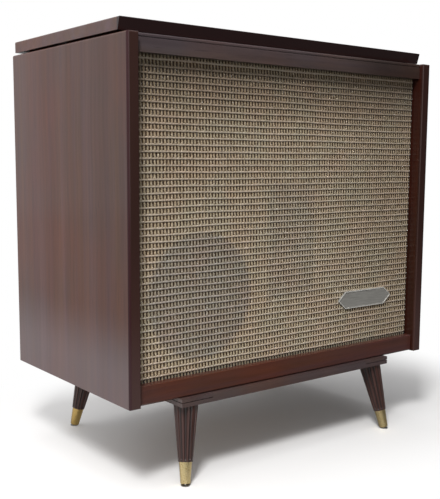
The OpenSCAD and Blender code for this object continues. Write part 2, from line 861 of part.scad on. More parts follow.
// Stepped brass pulley, one step for each speed, its shaft and the rotor
module motor_pulley() {
    color(BRASS) translate([pulley_x, pulley_y, 0]) {
        translate([0, 0, drive_z - 1]) cylinder(h = drive_h + 2, r = pulley_r);
        translate([0, 0, drive_z + drive_h + 1 - EPS]) cylinder(h = 2.5, r = 5.4);
        translate([0, 0, drive_z + drive_h + 3.5 - EPS]) cylinder(h = 2.5, r = 9.3);
        translate([0, 0, drive_z - 4]) cylinder(h = 3 + EPS, r = 2.2);
        translate([0, 0, motor_z - 4]) cylinder(h = drive_z - motor_z + 1, r = rotor_shaft_r);
        translate([0, 0, motor_z + 1]) cylinder(h = stator_h - 2, r = rotor_r);
    }
}

// Laminated stator, two bearing bridges and the two posts that they hang on
module motor_body() {
    bridge_t = 3;
    bridge_w = 20;
    bridge_gap = 5;
    corner_r = 5;
    post_r = 4;
    post_in = 6;
    low = motor_z - bridge_gap - bridge_t;
    color(STEEL) translate([pulley_x, pulley_y, 0]) difference() {
        union() {
            translate([0, 0, motor_z]) linear_extrude(stator_h)
                rounded(stator, stator, corner_r);
            for (z = [low, motor_z + stator_h + bridge_gap])
                translate([0, 0, z]) linear_extrude(bridge_t)
                    rounded(stator, bridge_w, corner_r);
            for (s = [-1, 1]) translate([s * (stator / 2 - post_in), 0, low])
                cylinder(h = plate_z - plate_t - low, r = post_r);
        }
        translate([0, 0, motor_z - EPS]) cylinder(h = stator_h + 1, r = rotor_r + 0.4);
        translate([0, 0, low - 2]) cylinder(h = stator_h + 30, r = shaft_bore_r);
    }
}

module at_arm(z) { translate([arm_x, arm_y, z]) children(); }

module tonearm_pedestal() {
    color(CREAM) at_arm(plate_z) difference() {
        union() {
            cylinder(h = 4, r = 19);
            translate([0, 0, 4 - EPS]) cylinder(h = 18, r1 = 16, r2 = 12);
        }
        translate([0, 0, -1]) cylinder(h = 30, r = swivel_r + FIT);
    }
}

// Swivel that carries the arm's cross pin between two ears
module tonearm_gimbal() {
    ear_t = 3;
    ear_low = plate_z + 23;
    color(STEEL) at_arm(0) union() {
        translate([0, 0, plate_z - 8]) cylinder(h = 31 + EPS, r = swivel_r);
        translate([0, 0, ear_low]) linear_extrude(ear_t) rounded(yoke_w, 20, 5);
        for (s = [-1, 1]) slab_x(s * (yoke_w - ear_t) / 2 - ear_t / 2, ear_t) {
            translate([0, arm_pin_z]) circle(8);
            translate([-8, ear_low]) square([16, arm_pin_z - ear_low]);
        }
        slab_x(-yoke_w / 2 + 1, yoke_w - 2) translate([0, arm_pin_z]) circle(arm_pin_r);
    }
}

// Half the arm's width at a distance in front of its pivot
function arm_half_w(s) = 6.5 + 4.5 * pow(s / arm_len, 2);

// Tapered channel that widens into the head with its finger lift, and a counterweight
module tonearm() {
    low = arm_pin_z - 6;
    head = arm_len + 10;
    nose = 5;
    steps = 10;
    side = [for (i = [0 : steps]) let (s = head * i / steps) [arm_half_w(s), -s]];
    other = [for (i = [steps : -1 : 0]) let (s = head * i / steps) [-arm_half_w(s), -s]];
    color(CREAM) at_arm(0) difference() {
        union() {
            intersection() {
                translate([0, 0, low]) linear_extrude(13) polygon(concat(side, other));
                slab_x(-20, 40) polygon([
                    [0, low], [0, low + 13], [-40, low + 12], [-head + 25, low + 9],
                    [-head + 4, low + 7], [-head, low + 3], [-head, low]]);
            }
            translate([0, 12, arm_pin_z]) rotate([90, 0, 0]) cylinder(h = 13, r = 7.6);
            translate([0, 40, arm_pin_z]) rotate([90, 0, 0]) cylinder(h = 29, r = 9);
            slab_y(-arm_len, 7) translate([arm_half_w(arm_len) - 2, low + 1]) polygon([
                [0, 0], [9, 0], [13, 1.5], [15.5, 4.5], [14.3, 5], [12, 2.8], [8.5, 1.4],
                [0, 1.4]]);
        }
        translate([-4.9, nose - head, low - 1]) cube([9.8, head - nose - 20, 7]);
        slab_x(-20, 40) translate([0, arm_pin_z]) circle(arm_pin_r + FIT);
    }
}

// Cartridge under the head, with its stylus at the height of the first record
module cartridge() {
    body_z = arm_pin_z - 6;
    color(BLACK) translate([arm_x, arm_y - arm_len, 0]) {
        translate([-4.6, -4, body_z - 5]) cube([9.2, 20, 11]);
        translate([-3, -3, body_z - 8]) cube([6, 12, 3 + EPS]);
        translate([0, 0, record_z + 0.2])
            cylinder(h = body_z - 8 - record_z, r1 = 0.4, r2 = 1);
    }
}

// Post with a shelf for the arm, open on the platter's side
module arm_rest() {
    shelf = arm_pin_z - 6;
    color(CREAM) translate([arm_x, rest_y, 0]) {
        translate([0, 0, plate_z]) cylinder(h = 3, r = 9);
        translate([0, 0, plate_z]) cylinder(h = shelf - plate_z - 3 + EPS, r = 4);
        translate([-8, -6, shelf - 3]) cube([21, 12, 3]);
        translate([10, -6, shelf - 3]) cube([3, 12, 11]);
    }
}

// Rod in a bush, with an arm that holds the stack of records on the spindle
module record_overarm() {
    reach = [platter_x - overarm_x, platter_y - overarm_y];
    color(STEEL) translate([overarm_x, overarm_y, 0]) union() {
        translate([0, 0, plate_z - 20]) cylinder(h = overarm_z - plate_z + 24, r = overarm_r);
        translate([0, 0, plate_z + 12.4]) cylinder(h = 3, r = 7);
        translate([0, 0, overarm_z]) linear_extrude(5) link([0, 0], reach, 6);
        translate([reach[0], reach[1], overarm_z]) cylinder(h = 8, r = 9);
    }
}

// A lever with a round boss; its pin turns in the plate
module lever(p, reach, angle) {
    translate([p[0], p[1], 0]) {
        translate([0, 0, plate_z - 14]) cylinder(h = 15, r = 2.5);
        translate([0, 0, plate_z + 0.4]) cylinder(h = 7, r1 = 10, r2 = 9);
        translate([0, 0, plate_z + 2]) rotate(angle) linear_extrude(4) link([0, 0], [reach, 0], 4);
        rotate(angle) translate([reach, 0, plate_z + 2]) cylinder(h = 9, r1 = 4, r2 = 5);
        translate([0, 0, plate_z - 14]) rotate(angle + 180) linear_extrude(2)
            link([0, 0], [16, 0], 4);
    }
}

module speed_lever() { color(CREAM) lever(lever_at[0], 22, 0); }
module function_lever() { color(CREAM) lever(lever_at[1], 26, -90); }

// ---------------------------------------------------------------- controls

// Places a child at knob i: volume, treble, bass, selector
module at_knob(i, z) { translate([knob_x + (i - 1.5) * knob_pitch, knob_y, z]) children(); }

// Brushed plate with a raised border
module control_panel() {
    w = panel_high_x - panel_low_x;
    d = panel_high_y - panel_low_y;
    cx = (panel_low_x + panel_high_x) / 2;
    cy = (panel_low_y + panel_high_y) / 2;
    color(STEEL) difference() {
        translate([cx, cy, deck_z]) union() {
            linear_extrude(panel_rise) rounded(w, d, 8);
            linear_extrude(panel_rise + 1.5) difference() {
                rounded(w, d, 8);
                rounded(w - 6, d - 6, 5);
            }
        }
        for (i = [0 : 3]) at_knob(i, deck_z - 1) cylinder(h = 5, r = bush_r + FIT);
    }
}

// Controls under the panel, each with a bush through it
module control_pots() {
    color(STEEL) for (i = [0 : 3]) at_knob(i, 0) difference() {
        union() {
            translate([0, 0, deck_z - 14]) cylinder(h = 14, r = 12);
            translate([0, 0, deck_z - EPS]) cylinder(h = panel_rise + 0.4, r = bush_r);
            translate([-5, -18, deck_z - 12]) cube([10, 10, 2]);
        }
        translate([0, 0, deck_z - 12]) cylinder(h = 20, r = shaft_r + FIT);
    }
}

// Fluted knob on a round skirt, with a dished top, a pointer groove and a shaft
module knob(i) {
    ribs = 24;
    skirt = 4;
    grip_r = knob_d / 2 - 3;
    color(CREAM) at_knob(i, 0) difference() {
        union() {
            translate([0, 0, deck_z - 11.5]) cylinder(h = knob_z + 12 - deck_z, r = shaft_r);
            translate([0, 0, knob_z]) cylinder(h = skirt, r1 = knob_d / 2, r2 = grip_r + 1);
            translate([0, 0, knob_z + skirt - EPS]) linear_extrude(knob_h - skirt) difference() {
                circle(grip_r);
                for (k = [0 : ribs - 1]) rotate((k + 0.5) * 360 / ribs)
                    translate([grip_r, 0]) circle(0.9);
            }
        }
        translate([0, 0, knob_z + knob_h - 0.8]) cylinder(h = 2, r = grip_r - 5);
        translate([-0.7, grip_r - 7, knob_z + knob_h - 1.4]) cube([1.4, 10, 3]);
    }
}

module volume_knob() { knob(0); }
module treble_knob() { knob(1); }
module bass_knob() { knob(2); }
module selector_knob() { knob(3); }

// ---------------------------------------------------------------- sound

// Folded chassis with holes for the valve sockets
module amplifier_chassis() {
    color(STEEL) difference() {
        translate([amp_low_x, amp_low_y, amp_z]) cube([amp_w, amp_d, amp_h]);
        translate([amp_low_x + amp_t, amp_low_y + amp_t, amp_z - 1])
            cube([amp_w - 2 * amp_t, amp_d - 2 * amp_t, amp_h + 1 - amp_t]);
        for (p = valve_at) translate([p[0], p[1], amp_top_z - 4]) cylinder(h = 8, r = 9);
    }
}

// A laminated core between rounded, stepped bells, with its four clamping bolts
module transformer(x, y, w, d, h) {
    margin = 5;
    bell_r = 8;
    head = 2.5;
    translate([x - w / 2, y - d / 6, amp_top_z]) cube([w, d / 3, h]);
    translate([x, y, amp_top_z]) {
        linear_extrude(h - 2 * margin) rounded(w - 2 * margin, d, bell_r);
        linear_extrude(h - margin) rounded(w - 4 * margin, d - 2 * margin, bell_r);
    }
    for (sx = [-1, 1], up = [margin, h - margin / 2])
        slab_y(y - d / 6 - head, d / 3 + 2 * head)
            translate([x + sx * (w - margin) / 2, amp_top_z + up]) circle(2);
}

module transformers() {
    color(BLACK) {
        transformer(108, 10, 66, 58, 72);
        transformer(245, 8, 52, 44, 56);
    }
}

// Glass valves in their sockets, with domed tops
module valves() {
    color("#c9d2d6") for (i = [0 : 3]) translate([valve_at[i][0], valve_at[i][1], 0]) {
        r = valve_r[i];
        translate([0, 0, amp_top_z - 8]) cylinder(h = 12, r = 8.6);
        translate([0, 0, amp_top_z]) cylinder(h = 4 + EPS, r = 12);
        translate([0, 0, amp_top_z + 4]) cylinder(h = 3.4 * r, r = r);
        translate([0, 0, amp_top_z + 4 + 3.4 * r]) sphere(r);
    }
}

// Places a child at the woofer with +Z pointing back into the cabinet
module at_woofer() {
    translate([woofer_x, baffle_back_y, woofer_z]) rotate([-90, 0, 0]) children();
}

// Pressed basket with four windows and eight nuts, and the magnet behind it
module woofer_frame() {
    windows = 4;
    window_w = 68;
    neck_in = 28;
    neck_out = 52;
    rim = woofer_rim_r;
    deep = woofer_depth;
    plate = 6;
    plate_r = 46;
    magnet_h = 22;
    magnet_r = 40;
    nuts = 8;
    nut_r = 4;
    color(STEEL) at_woofer() union() {
        for (i = [0 : nuts - 1]) rotate((i + 0.5) * 360 / nuts)
            translate([rim + 12, 0, 1.5]) cylinder(h = 4, r = nut_r, $fn = 6);
        difference() {
            rotate_extrude($fn = 96) polygon([
                [rim, 0], [rim + 20, 0], [rim + 20, 2], [rim + 5, 2.5], [rim + 3, 14],
                [neck_out, deep], [neck_in, deep], [neck_in, deep - 2],
                [neck_out - 1, deep - 2], [rim, 13]]);
            for (i = [0 : windows - 1]) rotate((i + 0.5) * 360 / windows)
                translate([neck_out + 10, -window_w / 2, 10]) cube([40, window_w, deep - 20]);
        }
        translate([0, 0, deep - EPS]) cylinder(h = plate, r = plate_r);
        translate([0, 0, deep + plate - EPS]) cylinder(h = magnet_h, r = magnet_r);
        translate([0, 0, deep + plate + magnet_h - EPS]) cylinder(h = plate, r = plate_r);
    }
}

// Paper cone with a rolled edge and a dust cap
module woofer_cone() {
    edge = woofer_rim_r - 0.1;
    coil_r = 22;
    coil_end = woofer_depth - 8;
    cap_y = 41.5;
    color(BLACK) at_woofer() rotate_extrude($fn = 96) {
        polygon([[edge, 1], [edge, 2], [edge - 6.9, 2.2], [coil_r, cap_y + 4.5],
                 [coil_r, coil_end], [coil_r - 2, coil_end], [coil_r - 2, cap_y + 3],
                 [edge - 7.9, 1]]);
        translate([0, cap_y]) square([coil_r + 2, 1.5]);
    }
}

// Width of the horn at a share t of its length: an exponential flare
function flare(a, b, t) = a * pow(b / a, t);

// A closed horn shape whose rectangular sections follow the flare, mouth first
module horn_body(mouth_w, mouth_h, throat, len, steps) {
    pts = [for (i = [0 : steps]) let (t = i / steps, w = flare(mouth_w, throat, t) / 2,
               h = flare(mouth_h, throat, t) / 2)
           each [[-w, -h, t * len], [w, -h, t * len], [w, h, t * len], [-w, h, t * len]]];
    sides = [for (i = [0 : steps - 1], k = [0 : 3]) let (a = 4 * i + k, b = 4 * i + (k + 1) % 4)
             [a, a + 4, b + 4, b]];
    polyhedron(pts, concat([[0, 1, 2, 3]], sides, [[for (k = [3 : -1 : 0]) 4 * steps + k]]));
}

// Exponential horn with a flange behind the upper opening, and its driver
module treble_horn() {
    mouth_h = horn_high_z - horn_low_z;
    len = 96;
    color(BLACK) translate([oblong_x, baffle_back_y, (horn_low_z + horn_high_z) / 2])
        rotate([-90, 0, 0]) union() {
            difference() {
                union() {
                    horn_body(oblong_w + 3, mouth_h + 3, 27, len, 6);
                    translate([0, -2.5, 1.5])
                        cube([oblong_w + 14, mouth_h + 9, 3], center = true);
                }
                translate([0, 0, -EPS]) horn_body(oblong_w - 2, mouth_h - 2, 20, len + 1, 6);
            }
            translate([0, 0, len - EPS]) cylinder(h = 8, r = 22);
            translate([0, 0, len + 8 - 2 * EPS]) cylinder(h = 24, r = 32);
        }
}

// Round-ended loudspeaker behind the lower opening
module oval_tweeter() {
    h = tweeter_high_z - tweeter_low_z;
    run = oblong_w / 2 - h / 2;
    color(BLACK) translate([oblong_x, baffle_back_y, (tweeter_low_z + tweeter_high_z) / 2])
        rotate([-90, 0, 0]) difference() {
            union() {
                translate([0, 1.5, 0]) linear_extrude(2.5)
                    rounded(oblong_w + 16, h + 6, 6);
                translate([0, 0, 2]) linear_extrude(20) link([-run, 0], [run, 0], h / 2 - 1);
                translate([0, 0, 22 - EPS]) cylinder(h = 22, r = 21);
            }
            translate([0, 0, -EPS]) linear_extrude(9) link([-run, 0], [run, 0], h / 2 - 5);
        }
}

// Two-pin inlet in a shroud, riveted in the back panel
module mains_inlet() {
    color(BLACK) translate([inlet_x, rear_y + back_t, inlet_z]) rotate([90, 0, 0])
        difference() {
            union() {
                translate([0, 0, -2]) linear_extrude(2) rounded(inlet_w + 12, inlet_h + 6, 4);
                translate([0, 0, -EPS]) linear_extrude(16) rounded(inlet_w, inlet_h, 3);
            }
            difference() {
                translate([0, 0, -3]) linear_extrude(14) rounded(inlet_w - 5, inlet_h - 5, 2);
                for (s = [-1, 1]) translate([s * 5.5, 0, -1]) cylinder(h = 14, r = 1.2);
            }
        }
}

// ---------------------------------------------------------------- assembly

side_panel_left();
side_panel_right();
top_rail();
bottom_rail();
bottom_board();
deck_board();
rear_rail();
back_panel();
back_panel_screws();
glue_blocks();
baffle_board();
grille_cloth();
grille_plaque();
frame_front_board();
frame_rear_board();
frame_left_board();
frame_right_board();
leg_front_left();
leg_front_right();
leg_rear_left();
leg_rear_right();
leg_ferrules();
leg_fixings();
lid_panel();
hinge_fixed_leaves();
hinge_moving_leaves();
hinge_pins();
lid_bumpers();
stay_track();
stay_arm();
stay_bracket();
changer_plate();
platter();
platter_mat();
record_spindle();
idler_wheel();
motor_pulley();
motor_body();
tonearm_pedestal();
tonearm_gimbal();
tonearm();
cartridge();
arm_rest();
record_overarm();
speed_lever();
function_lever();
control_panel();
control_pots();
volume_knob();
treble_knob();
bass_knob();
selector_knob();
amplifier_chassis();
transformers();
valves();
woofer_frame();
woofer_cone();
treble_horn();
oval_tweeter();
mains_inlet();
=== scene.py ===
"""Dresses the record console: its wood, woven grille, brass, changer and controls, and the studio.

It runs as a script. Every length is in metres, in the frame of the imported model.
"""

import math

import bpy
import numpy as np
from mathutils import Matrix, Vector


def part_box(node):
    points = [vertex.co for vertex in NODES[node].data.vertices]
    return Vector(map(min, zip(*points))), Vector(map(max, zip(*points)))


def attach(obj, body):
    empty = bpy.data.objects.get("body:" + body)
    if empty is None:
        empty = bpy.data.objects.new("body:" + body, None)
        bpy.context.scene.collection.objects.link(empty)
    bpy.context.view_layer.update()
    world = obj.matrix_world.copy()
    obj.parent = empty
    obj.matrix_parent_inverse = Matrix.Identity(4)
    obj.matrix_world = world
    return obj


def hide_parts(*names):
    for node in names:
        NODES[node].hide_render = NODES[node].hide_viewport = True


bl_info = {
    "name": "Record Console Dresser",
    "version": (1, 0, 0),
    "blender": (4, 5, 0),
    "location": "View3D > Sidebar > Record Console",
    "description": "Dresses a lift-lid record console with wood, woven cloth, brass and trim",
    "category": "Object",
}

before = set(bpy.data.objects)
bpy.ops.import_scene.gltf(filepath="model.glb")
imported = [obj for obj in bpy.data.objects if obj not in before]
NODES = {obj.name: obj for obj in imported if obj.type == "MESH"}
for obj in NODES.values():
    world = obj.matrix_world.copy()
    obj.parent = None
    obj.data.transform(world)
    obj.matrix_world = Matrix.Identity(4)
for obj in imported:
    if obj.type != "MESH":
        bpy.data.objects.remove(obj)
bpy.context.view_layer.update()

X, Y, Z = 0, 1, 2
FULL_TURN = 2 * math.pi
# A plane just past a side panel's inner face, and its outer face
INNER_X, OUTER_X = 0.3362, 0.356
# Where the legs' axes meet the floor: x, and y of the front and the rear pair
LEG_X, LEG_Y = 0.2493, (-0.2027, 0.1927)
# How far a leg splays in x and y, its tilt from upright and its flutes
SPLAY, LEG_TILT, FLUTES = (0.0202, 0.0271), math.radians(14.107), 12
# Openings behind the cloth: the woofer's middle and radius, and the middle and half size of the
# two oblong ones as x and z
WOOFER, WOOFER_R = (-0.199, 0.0, 0.315), 0.108
OBLONGS = (((0.0065, 0.433), (0.0535, 0.068)), ((0.0065, 0.3265), (0.0535, 0.0315)))
# Distance between the cloth's upright yarns
WARP_PITCH = 0.0066
# Sockets of a Mix node that mixes colours
MIX_FACTOR, MIX_FIRST, MIX_SECOND, MIX_RESULT = 0, 6, 7, 2


def srgb(red, green, blue):
    """A colour given in 0 to 255 display values, as linear light."""
    return tuple(
        v / 12.92 if v <= 0.04045 else ((v + 0.055) / 1.055) ** 2.4
        for v in (red / 255, green / 255, blue / 255)
    )


def rgba(colour):
    """A colour with full opacity, as shader sockets want it."""
    return (*colour[:3], 1.0)


# ---- settings


def setting(make, **kind):
    """A function that makes settings of one kind from a name, a text and a default."""
    return lambda name, text, default: make(
        name=name, description=text, default=default, **kind
    )


length_prop = setting(
    bpy.props.FloatProperty, min=0.0, precision=5, unit="LENGTH", subtype="DISTANCE"
)
share_prop = setting(bpy.props.FloatProperty, min=0.0, max=1.0, subtype="FACTOR")
angle_prop = setting(bpy.props.FloatProperty, unit="ROTATION", subtype="ANGLE")
colour_prop = setting(
    bpy.props.FloatVectorProperty, size=3, min=0.0, max=1.0, subtype="COLOR"
)


class CONSOLE_PG_wood(bpy.types.PropertyGroup):
    """Colours and gloss of the case's wood."""

    light: colour_prop("Light grain", "Palest streaks of the veneer", srgb(88, 55, 46))
    middle: colour_prop("Middle grain", "Main colour of the veneer", srgb(82, 48, 39))
    red: colour_prop("Red grain", "Reddish streaks of the veneer", srgb(82, 44, 36))
    dark: colour_prop("Dark grain", "Darkest streaks and open pores", srgb(48, 27, 22))
    # The lid's front edging, darkened as painted shade
    edge: colour_prop("Edging", "Dark front edge of the lid", srgb(33, 13, 13))
    leg: colour_prop("Leg", "Main colour of the turned legs", srgb(66, 42, 37))
    lacquer: share_prop("Lacquer", "Weight of the clear lacquer", 0.85)


class CONSOLE_PG_grille(bpy.types.PropertyGroup):
    """Yarns of the woven grille."""

    row_pitch: length_prop("Row pitch", "Distance between the thick yarns", 0.01113)
    row_radius: length_prop("Row radius", "Half the thick yarns' height", 0.0016)
    warp_pitch: length_prop("Warp pitch", "Distance between the upright yarns", WARP_PITCH)
    warp_half: length_prop("Warp half width", "Half the upright yarns' width", 0.00186)
    thread_radius: length_prop("Thread radius", "Half the thin threads' height", 0.0004)
    first_row: length_prop("First row", "Top thick yarn below the cloth's top", 0.00637)
    row: colour_prop("Thick yarn", "Colour of the thick yarns", srgb(187, 173, 158))
    warp: colour_prop("Upright yarn", "Colour of the upright yarns", srgb(168, 152, 126))
    thread: colour_prop("Thread", "Colour of the thin threads", srgb(76, 60, 41))
    glint: colour_prop("Glint", "Colour of the metallic flecks", srgb(250, 242, 226))
    scrim: colour_prop("Scrim", "Colour of the dark backing cloth", srgb(92, 68, 42))


class CONSOLE_PG_metal(bpy.types.PropertyGroup):
    """Colours of the metal, moulded and rubber pieces."""

    brass: colour_prop("Brass", "Ferrules and hinges", srgb(248, 226, 170))
    steel: colour_prop("Steel", "Plated steel", srgb(206, 206, 208))
    cream: colour_prop("Cream", "Enamel and mouldings of the changer", srgb(226, 216, 192))
    black: colour_prop("Black", "Rubber, enamel and dark mouldings", srgb(34, 33, 34))


class CONSOLE_PG_studio(bpy.types.PropertyGroup):
    """Camera and floor."""

    camera_at: bpy.props.FloatVectorProperty(
        name="Camera", description="Where the camera stands", size=3,
        default=(-1.0143, -1.2823, 0.5460), unit="LENGTH", subtype="TRANSLATION",
    )
    yaw: angle_prop("Yaw", "Turn of the camera from +Y towards +X", math.radians(37.777))
    pitch: angle_prop("Pitch", "Tilt of the camera below the horizon", math.radians(7.070))
    roll: angle_prop("Roll", "Roll of the camera about its own axis", math.radians(0.337))
    focal: bpy.props.FloatProperty(
        name="Focal length", description="Focal length on a 36 mm sensor, in millimetres",
        default=59.14, min=1.0, unit="CAMERA",
    )
    floor: colour_prop("Floor", "Colour of the floor", srgb(242, 241, 240))


# ---- shader tools


class Graph:
    """Short-hand for laying out one node tree."""

    def __init__(self, tree):
        self.tree = tree

    def add(self, kind, inputs=None, **settings):
        node = self.tree.nodes.new(kind)
        for name, value in settings.items():
            setattr(node, name, value)
        for name, value in (inputs or {}).items():
            self.set(node.inputs[name], value)
        return node

    def set(self, socket, value):
        if isinstance(value, bpy.types.NodeSocket):
            self.tree.links.new(value, socket)
        else:
            socket.default_value = value

    def math(self, operation, first, second=0.0, clamp=False):
        node = self.add(
            "ShaderNodeMath", {0: first, 1: second}, operation=operation, use_clamp=clamp
        )
        return node.outputs[0]

    def times(self, first, second):
        return self.math("MULTIPLY", first, second)

    def vector(self, operation, first, second=(0.0, 0.0, 0.0)):
        """Vector arithmetic; LENGTH and DOT_PRODUCT come out as a value."""
        node = self.add("ShaderNodeVectorMath", {0: first, 1: second}, operation=operation)
        return node.outputs["Value" if operation in ("LENGTH", "DOT_PRODUCT") else "Vector"]

    def scaled(self, vector, factors):
        return self.vector("MULTIPLY", vector, factors)

    def shifted(self, vector, offset):
        return self.vector("ADD", vector, offset)

    def noise(self, vector, scale, detail=2.0, roughness=0.5, output=0):
        """Noise of about scale features a metre."""
        node = self.add(
            "ShaderNodeTexNoise",
            {"Vector": vector, "Scale": scale, "Detail": detail, "Roughness": roughness},
        )
        return node.outputs[output]

    def band(self, value, low, high, share=1.0):
        """0 below low, share above high, and smooth between them."""
        node = self.add(
            "ShaderNodeMapRange",
            {"Value": value, "From Min": low, "From Max": high, "To Max": share},
            interpolation_type="SMOOTHSTEP",
        )
        return node.outputs[0]

    def blend(self, factor, first, second, mode="MIX"):
        first, second = (
            c if isinstance(c, bpy.types.NodeSocket) else rgba(c) for c in (first, second)
        )
        node = self.add(
            "ShaderNodeMix", {MIX_FACTOR: factor, MIX_FIRST: first, MIX_SECOND: second},
            data_type="RGBA", blend_type=mode,
        )
        return node.outputs[MIX_RESULT]

    def tinted(self, colour, tint, factor=1.0):
        return self.blend(factor, colour, tint, "MULTIPLY")

    def between(self, factor, low, high):
        """A value that goes from low to high with factor."""
        return self.math("ADD", low, self.times(factor, high - low))

    def ramp(self, factor, *stops):
        """Colours at rising values of a factor, and even changes between them."""
        node = self.add("ShaderNodeValToRGB", {0: factor})
        points = node.color_ramp.elements
        for place, _ in stops[2:]:
            points.new(place)
        for point, (place, colour) in zip(points, stops):
            point.position = place
            point.color = rgba(colour)
        return node.outputs[0]

    def bump(self, height, strength, distance):
        node = self.add(
            "ShaderNodeBump", {"Height": height, "Strength": strength, "Distance": distance}
        )
        return node.outputs[0]

    def axis(self, vector, index):
        return self.add("ShaderNodeSeparateXYZ", {"Vector": vector}).outputs[index]


class Finish(Graph):
    """The graph of a new material, with the inputs of its shader and the point on the piece in
    metres; uniform holds the values that are the same all over."""

    def __init__(self, name, **uniform):
        self.material = bpy.data.materials.new(name)
        self.material.use_nodes = True
        super().__init__(self.material.node_tree)
        self.out = self.tree.nodes["Principled BSDF"].inputs
        for socket, value in uniform.items():
            self.out[socket.replace("_", " ")].default_value = value
        self.place = self.add("ShaderNodeTexCoord").outputs["Object"]

    def put(self, socket, value):
        self.set(self.out[socket], value)

    def dress(self, colour, rough, raised):
        """Sets the colour, the roughness from a factor, a low and a high value, and the bump
        from a height, a strength and a distance."""
        self.put("Base Color", colour)
        self.put("Roughness", self.between(*rough))
        self.put("Normal", self.bump(*raised))


def shared_effect(name, outputs, **inputs):
    """Turns a function that lays out a shader node group into one that uses that group in a
    finish, and builds it the first time. The group takes the point on the piece, and then the
    inputs that are named here with their defaults, numbers or vectors."""
    inputs = {"Vector": (0, 0, 0), **inputs}

    def build(lay_out):
        tree = bpy.data.node_groups.new(name, "ShaderNodeTree")
        for socket, default in inputs.items():
            kind = "NodeSocketVector" if isinstance(default, tuple) else "NodeSocketFloat"
            made = tree.interface.new_socket(socket, in_out="INPUT", socket_type=kind)
            made.default_value = default
        for socket in outputs:
            tree.interface.new_socket(socket, in_out="OUTPUT", socket_type="NodeSocketFloat")
        g = Graph(tree)
        lay_out(g, g.add("NodeGroupInput").outputs, g.add("NodeGroupOutput").inputs)
        return tree

    def wrap(lay_out):
        def use(g, *values):
            tree = bpy.data.node_groups.get(name) or build(lay_out)
            given = dict(zip(inputs, (g.place, *values)))
            return g.add("ShaderNodeGroup", given, node_tree=tree).outputs

        return use

    return wrap


@shared_effect("Grain", ("Figure", "Streaks", "Pores"), Stretch=(1, 1, 0.03), Fineness=1.0)
def grain_effect(g, start, end):
    """Broad figure, fine streaks and open pores of sawn or sliced wood."""
    figure, streaks, pores, sway = 16.0, 130.0, 620.0, 0.012
    drift = g.noise(start["Vector"], 5.0, 1.0, output="Color")
    bent = g.shifted(start["Vector"], g.scaled(drift, (sway, sway, sway)))
    along = g.scaled(bent, start["Stretch"])
    g.set(end["Figure"], g.noise(along, g.times(start["Fineness"], figure), 2.0, 0.55))
    g.set(end["Streaks"], g.noise(along, g.times(start["Fineness"], streaks), 3.0, 0.6))
    fine = g.noise(along, g.times(start["Fineness"], pores), 2.0, 0.6)
    g.set(end["Pores"], g.band(fine, 0.60, 0.70))


@shared_effect("Wear", ("Clouds", "Speckle", "Scratches"), Size=1.0)
def wear_effect(g, start, end):
    """Cloudy soiling, fine speckle and hairline scratches."""
    clouds, speckle, scratches = (
        g.math("DIVIDE", scale, start["Size"]) for scale in (14.0, 900.0, 260.0)
    )
    g.set(end["Clouds"], g.noise(start["Vector"], clouds, 4.0, 0.6))
    g.set(end["Speckle"], g.noise(start["Vector"], speckle, 2.0, 0.6))
    lines = []
    for stretch in ((1.0, 0.04, 0.04), (0.05, 1.0, 0.07)):
        streak = g.noise(g.scaled(start["Vector"], stretch), scratches, 2.0, 0.7)
        lines.append(g.band(streak, 0.66, 0.72))
    g.set(end["Scratches"], g.math("MAXIMUM", *lines))


@shared_effect("Brushed", ("Lines", "Bands"), Stretch=(0.01, 1, 1))
def brushed_effect(g, start, end):
    """Fine parallel lines of brushed or turned metal."""
    lines, bands = 2600.0, 160.0
    along = g.scaled(start["Vector"], start["Stretch"])
    g.set(end["Lines"], g.noise(along, lines, 2.0, 0.7))
    g.set(end["Bands"], g.noise(along, bands, 3.0, 0.6))


@shared_effect("Cloth", ("Opening", "Shade", "Gap_Shadow", "Patches"))
def cloth_effect(g, start, end):
    """Painted shade and light on the cloth: painted shade over the baffle's openings, painted
    shadow and light under the top rail, a painted shadow at its toothed lower edge over the bottom
    rail, and random colour patches.
    """
    place = start["Vector"]
    low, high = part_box("grille_cloth")
    under_rail, over_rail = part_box("top_rail")[0].z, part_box("bottom_rail")[1].z
    across, up = g.axis(place, X), g.axis(place, Z)
    # Painted shade on the cloth over the woofer's and the oblong openings, where no baffle lies
    # behind it
    blur, oblong_depth = 0.006, 0.45
    from_woofer = g.scaled(g.shifted(place, (-WOOFER[X], 0, -WOOFER[Z])), (1, 0, 1))
    opening = g.band(g.vector("LENGTH", from_woofer), WOOFER_R + blur, WOOFER_R - blur)
    for middle, half in OBLONGS:
        past = g.vector("ABSOLUTE", g.shifted(place, (-middle[0], 0, -middle[1])))
        beyond = [
            g.math("SUBTRACT", g.axis(past, axis), size)
            for axis, size in ((X, half[0]), (Z, half[1]))
        ]
        inside = g.band(g.math("MAXIMUM", *beyond), 0.008, -0.004, oblong_depth)
        opening = g.math("MAXIMUM", opening, inside)
    g.set(end["Opening"], opening)
    # Painted shade and light, each a mask with the brightness outside it and inside it: painted
    # shadow below the top rail, painted light right at the rail, lighter towards the floor, and
    # painted shade at the upper left and towards the right panel
    below_rail = (g.band(up, under_rail, under_rail - 0.13), 0.40, 1.0)
    at_rail = (g.band(up, under_rail - 0.022, under_rail - 0.004), 1.0, 2.4)
    downwards = (g.band(up, 0.66, 0.20), 0.86, 1.07)
    upper_left = (g.times(g.band(across, -0.05, low.x), g.band(up, 0.40, 0.60)), 1.0, 0.88)
    off_right = (g.band(across, high.x, high.x - 0.28), 0.82, 1.0)
    shade = g.between(*below_rail)
    for mask in (at_rail, downwards, upper_left, off_right):
        shade = g.times(shade, g.between(*mask))
    g.set(end["Shade"], shade)
    # Painted shadow in the gap over the bottom rail, its upper edge toothed like the yarns' ends
    tooth, gap_shadow_top, gap_shadow_full = 0.0012, 0.0075, 0.0035
    teeth = g.times(g.math("SINE", g.times(across, FULL_TURN / WARP_PITCH)), tooth)
    edge = g.math("ADD", up, teeth)
    g.set(end["Gap_Shadow"], g.band(edge, over_rail + gap_shadow_top, over_rail + gap_shadow_full))
    g.set(end["Patches"], g.noise(place, 16.0, 2.0, 0.6))


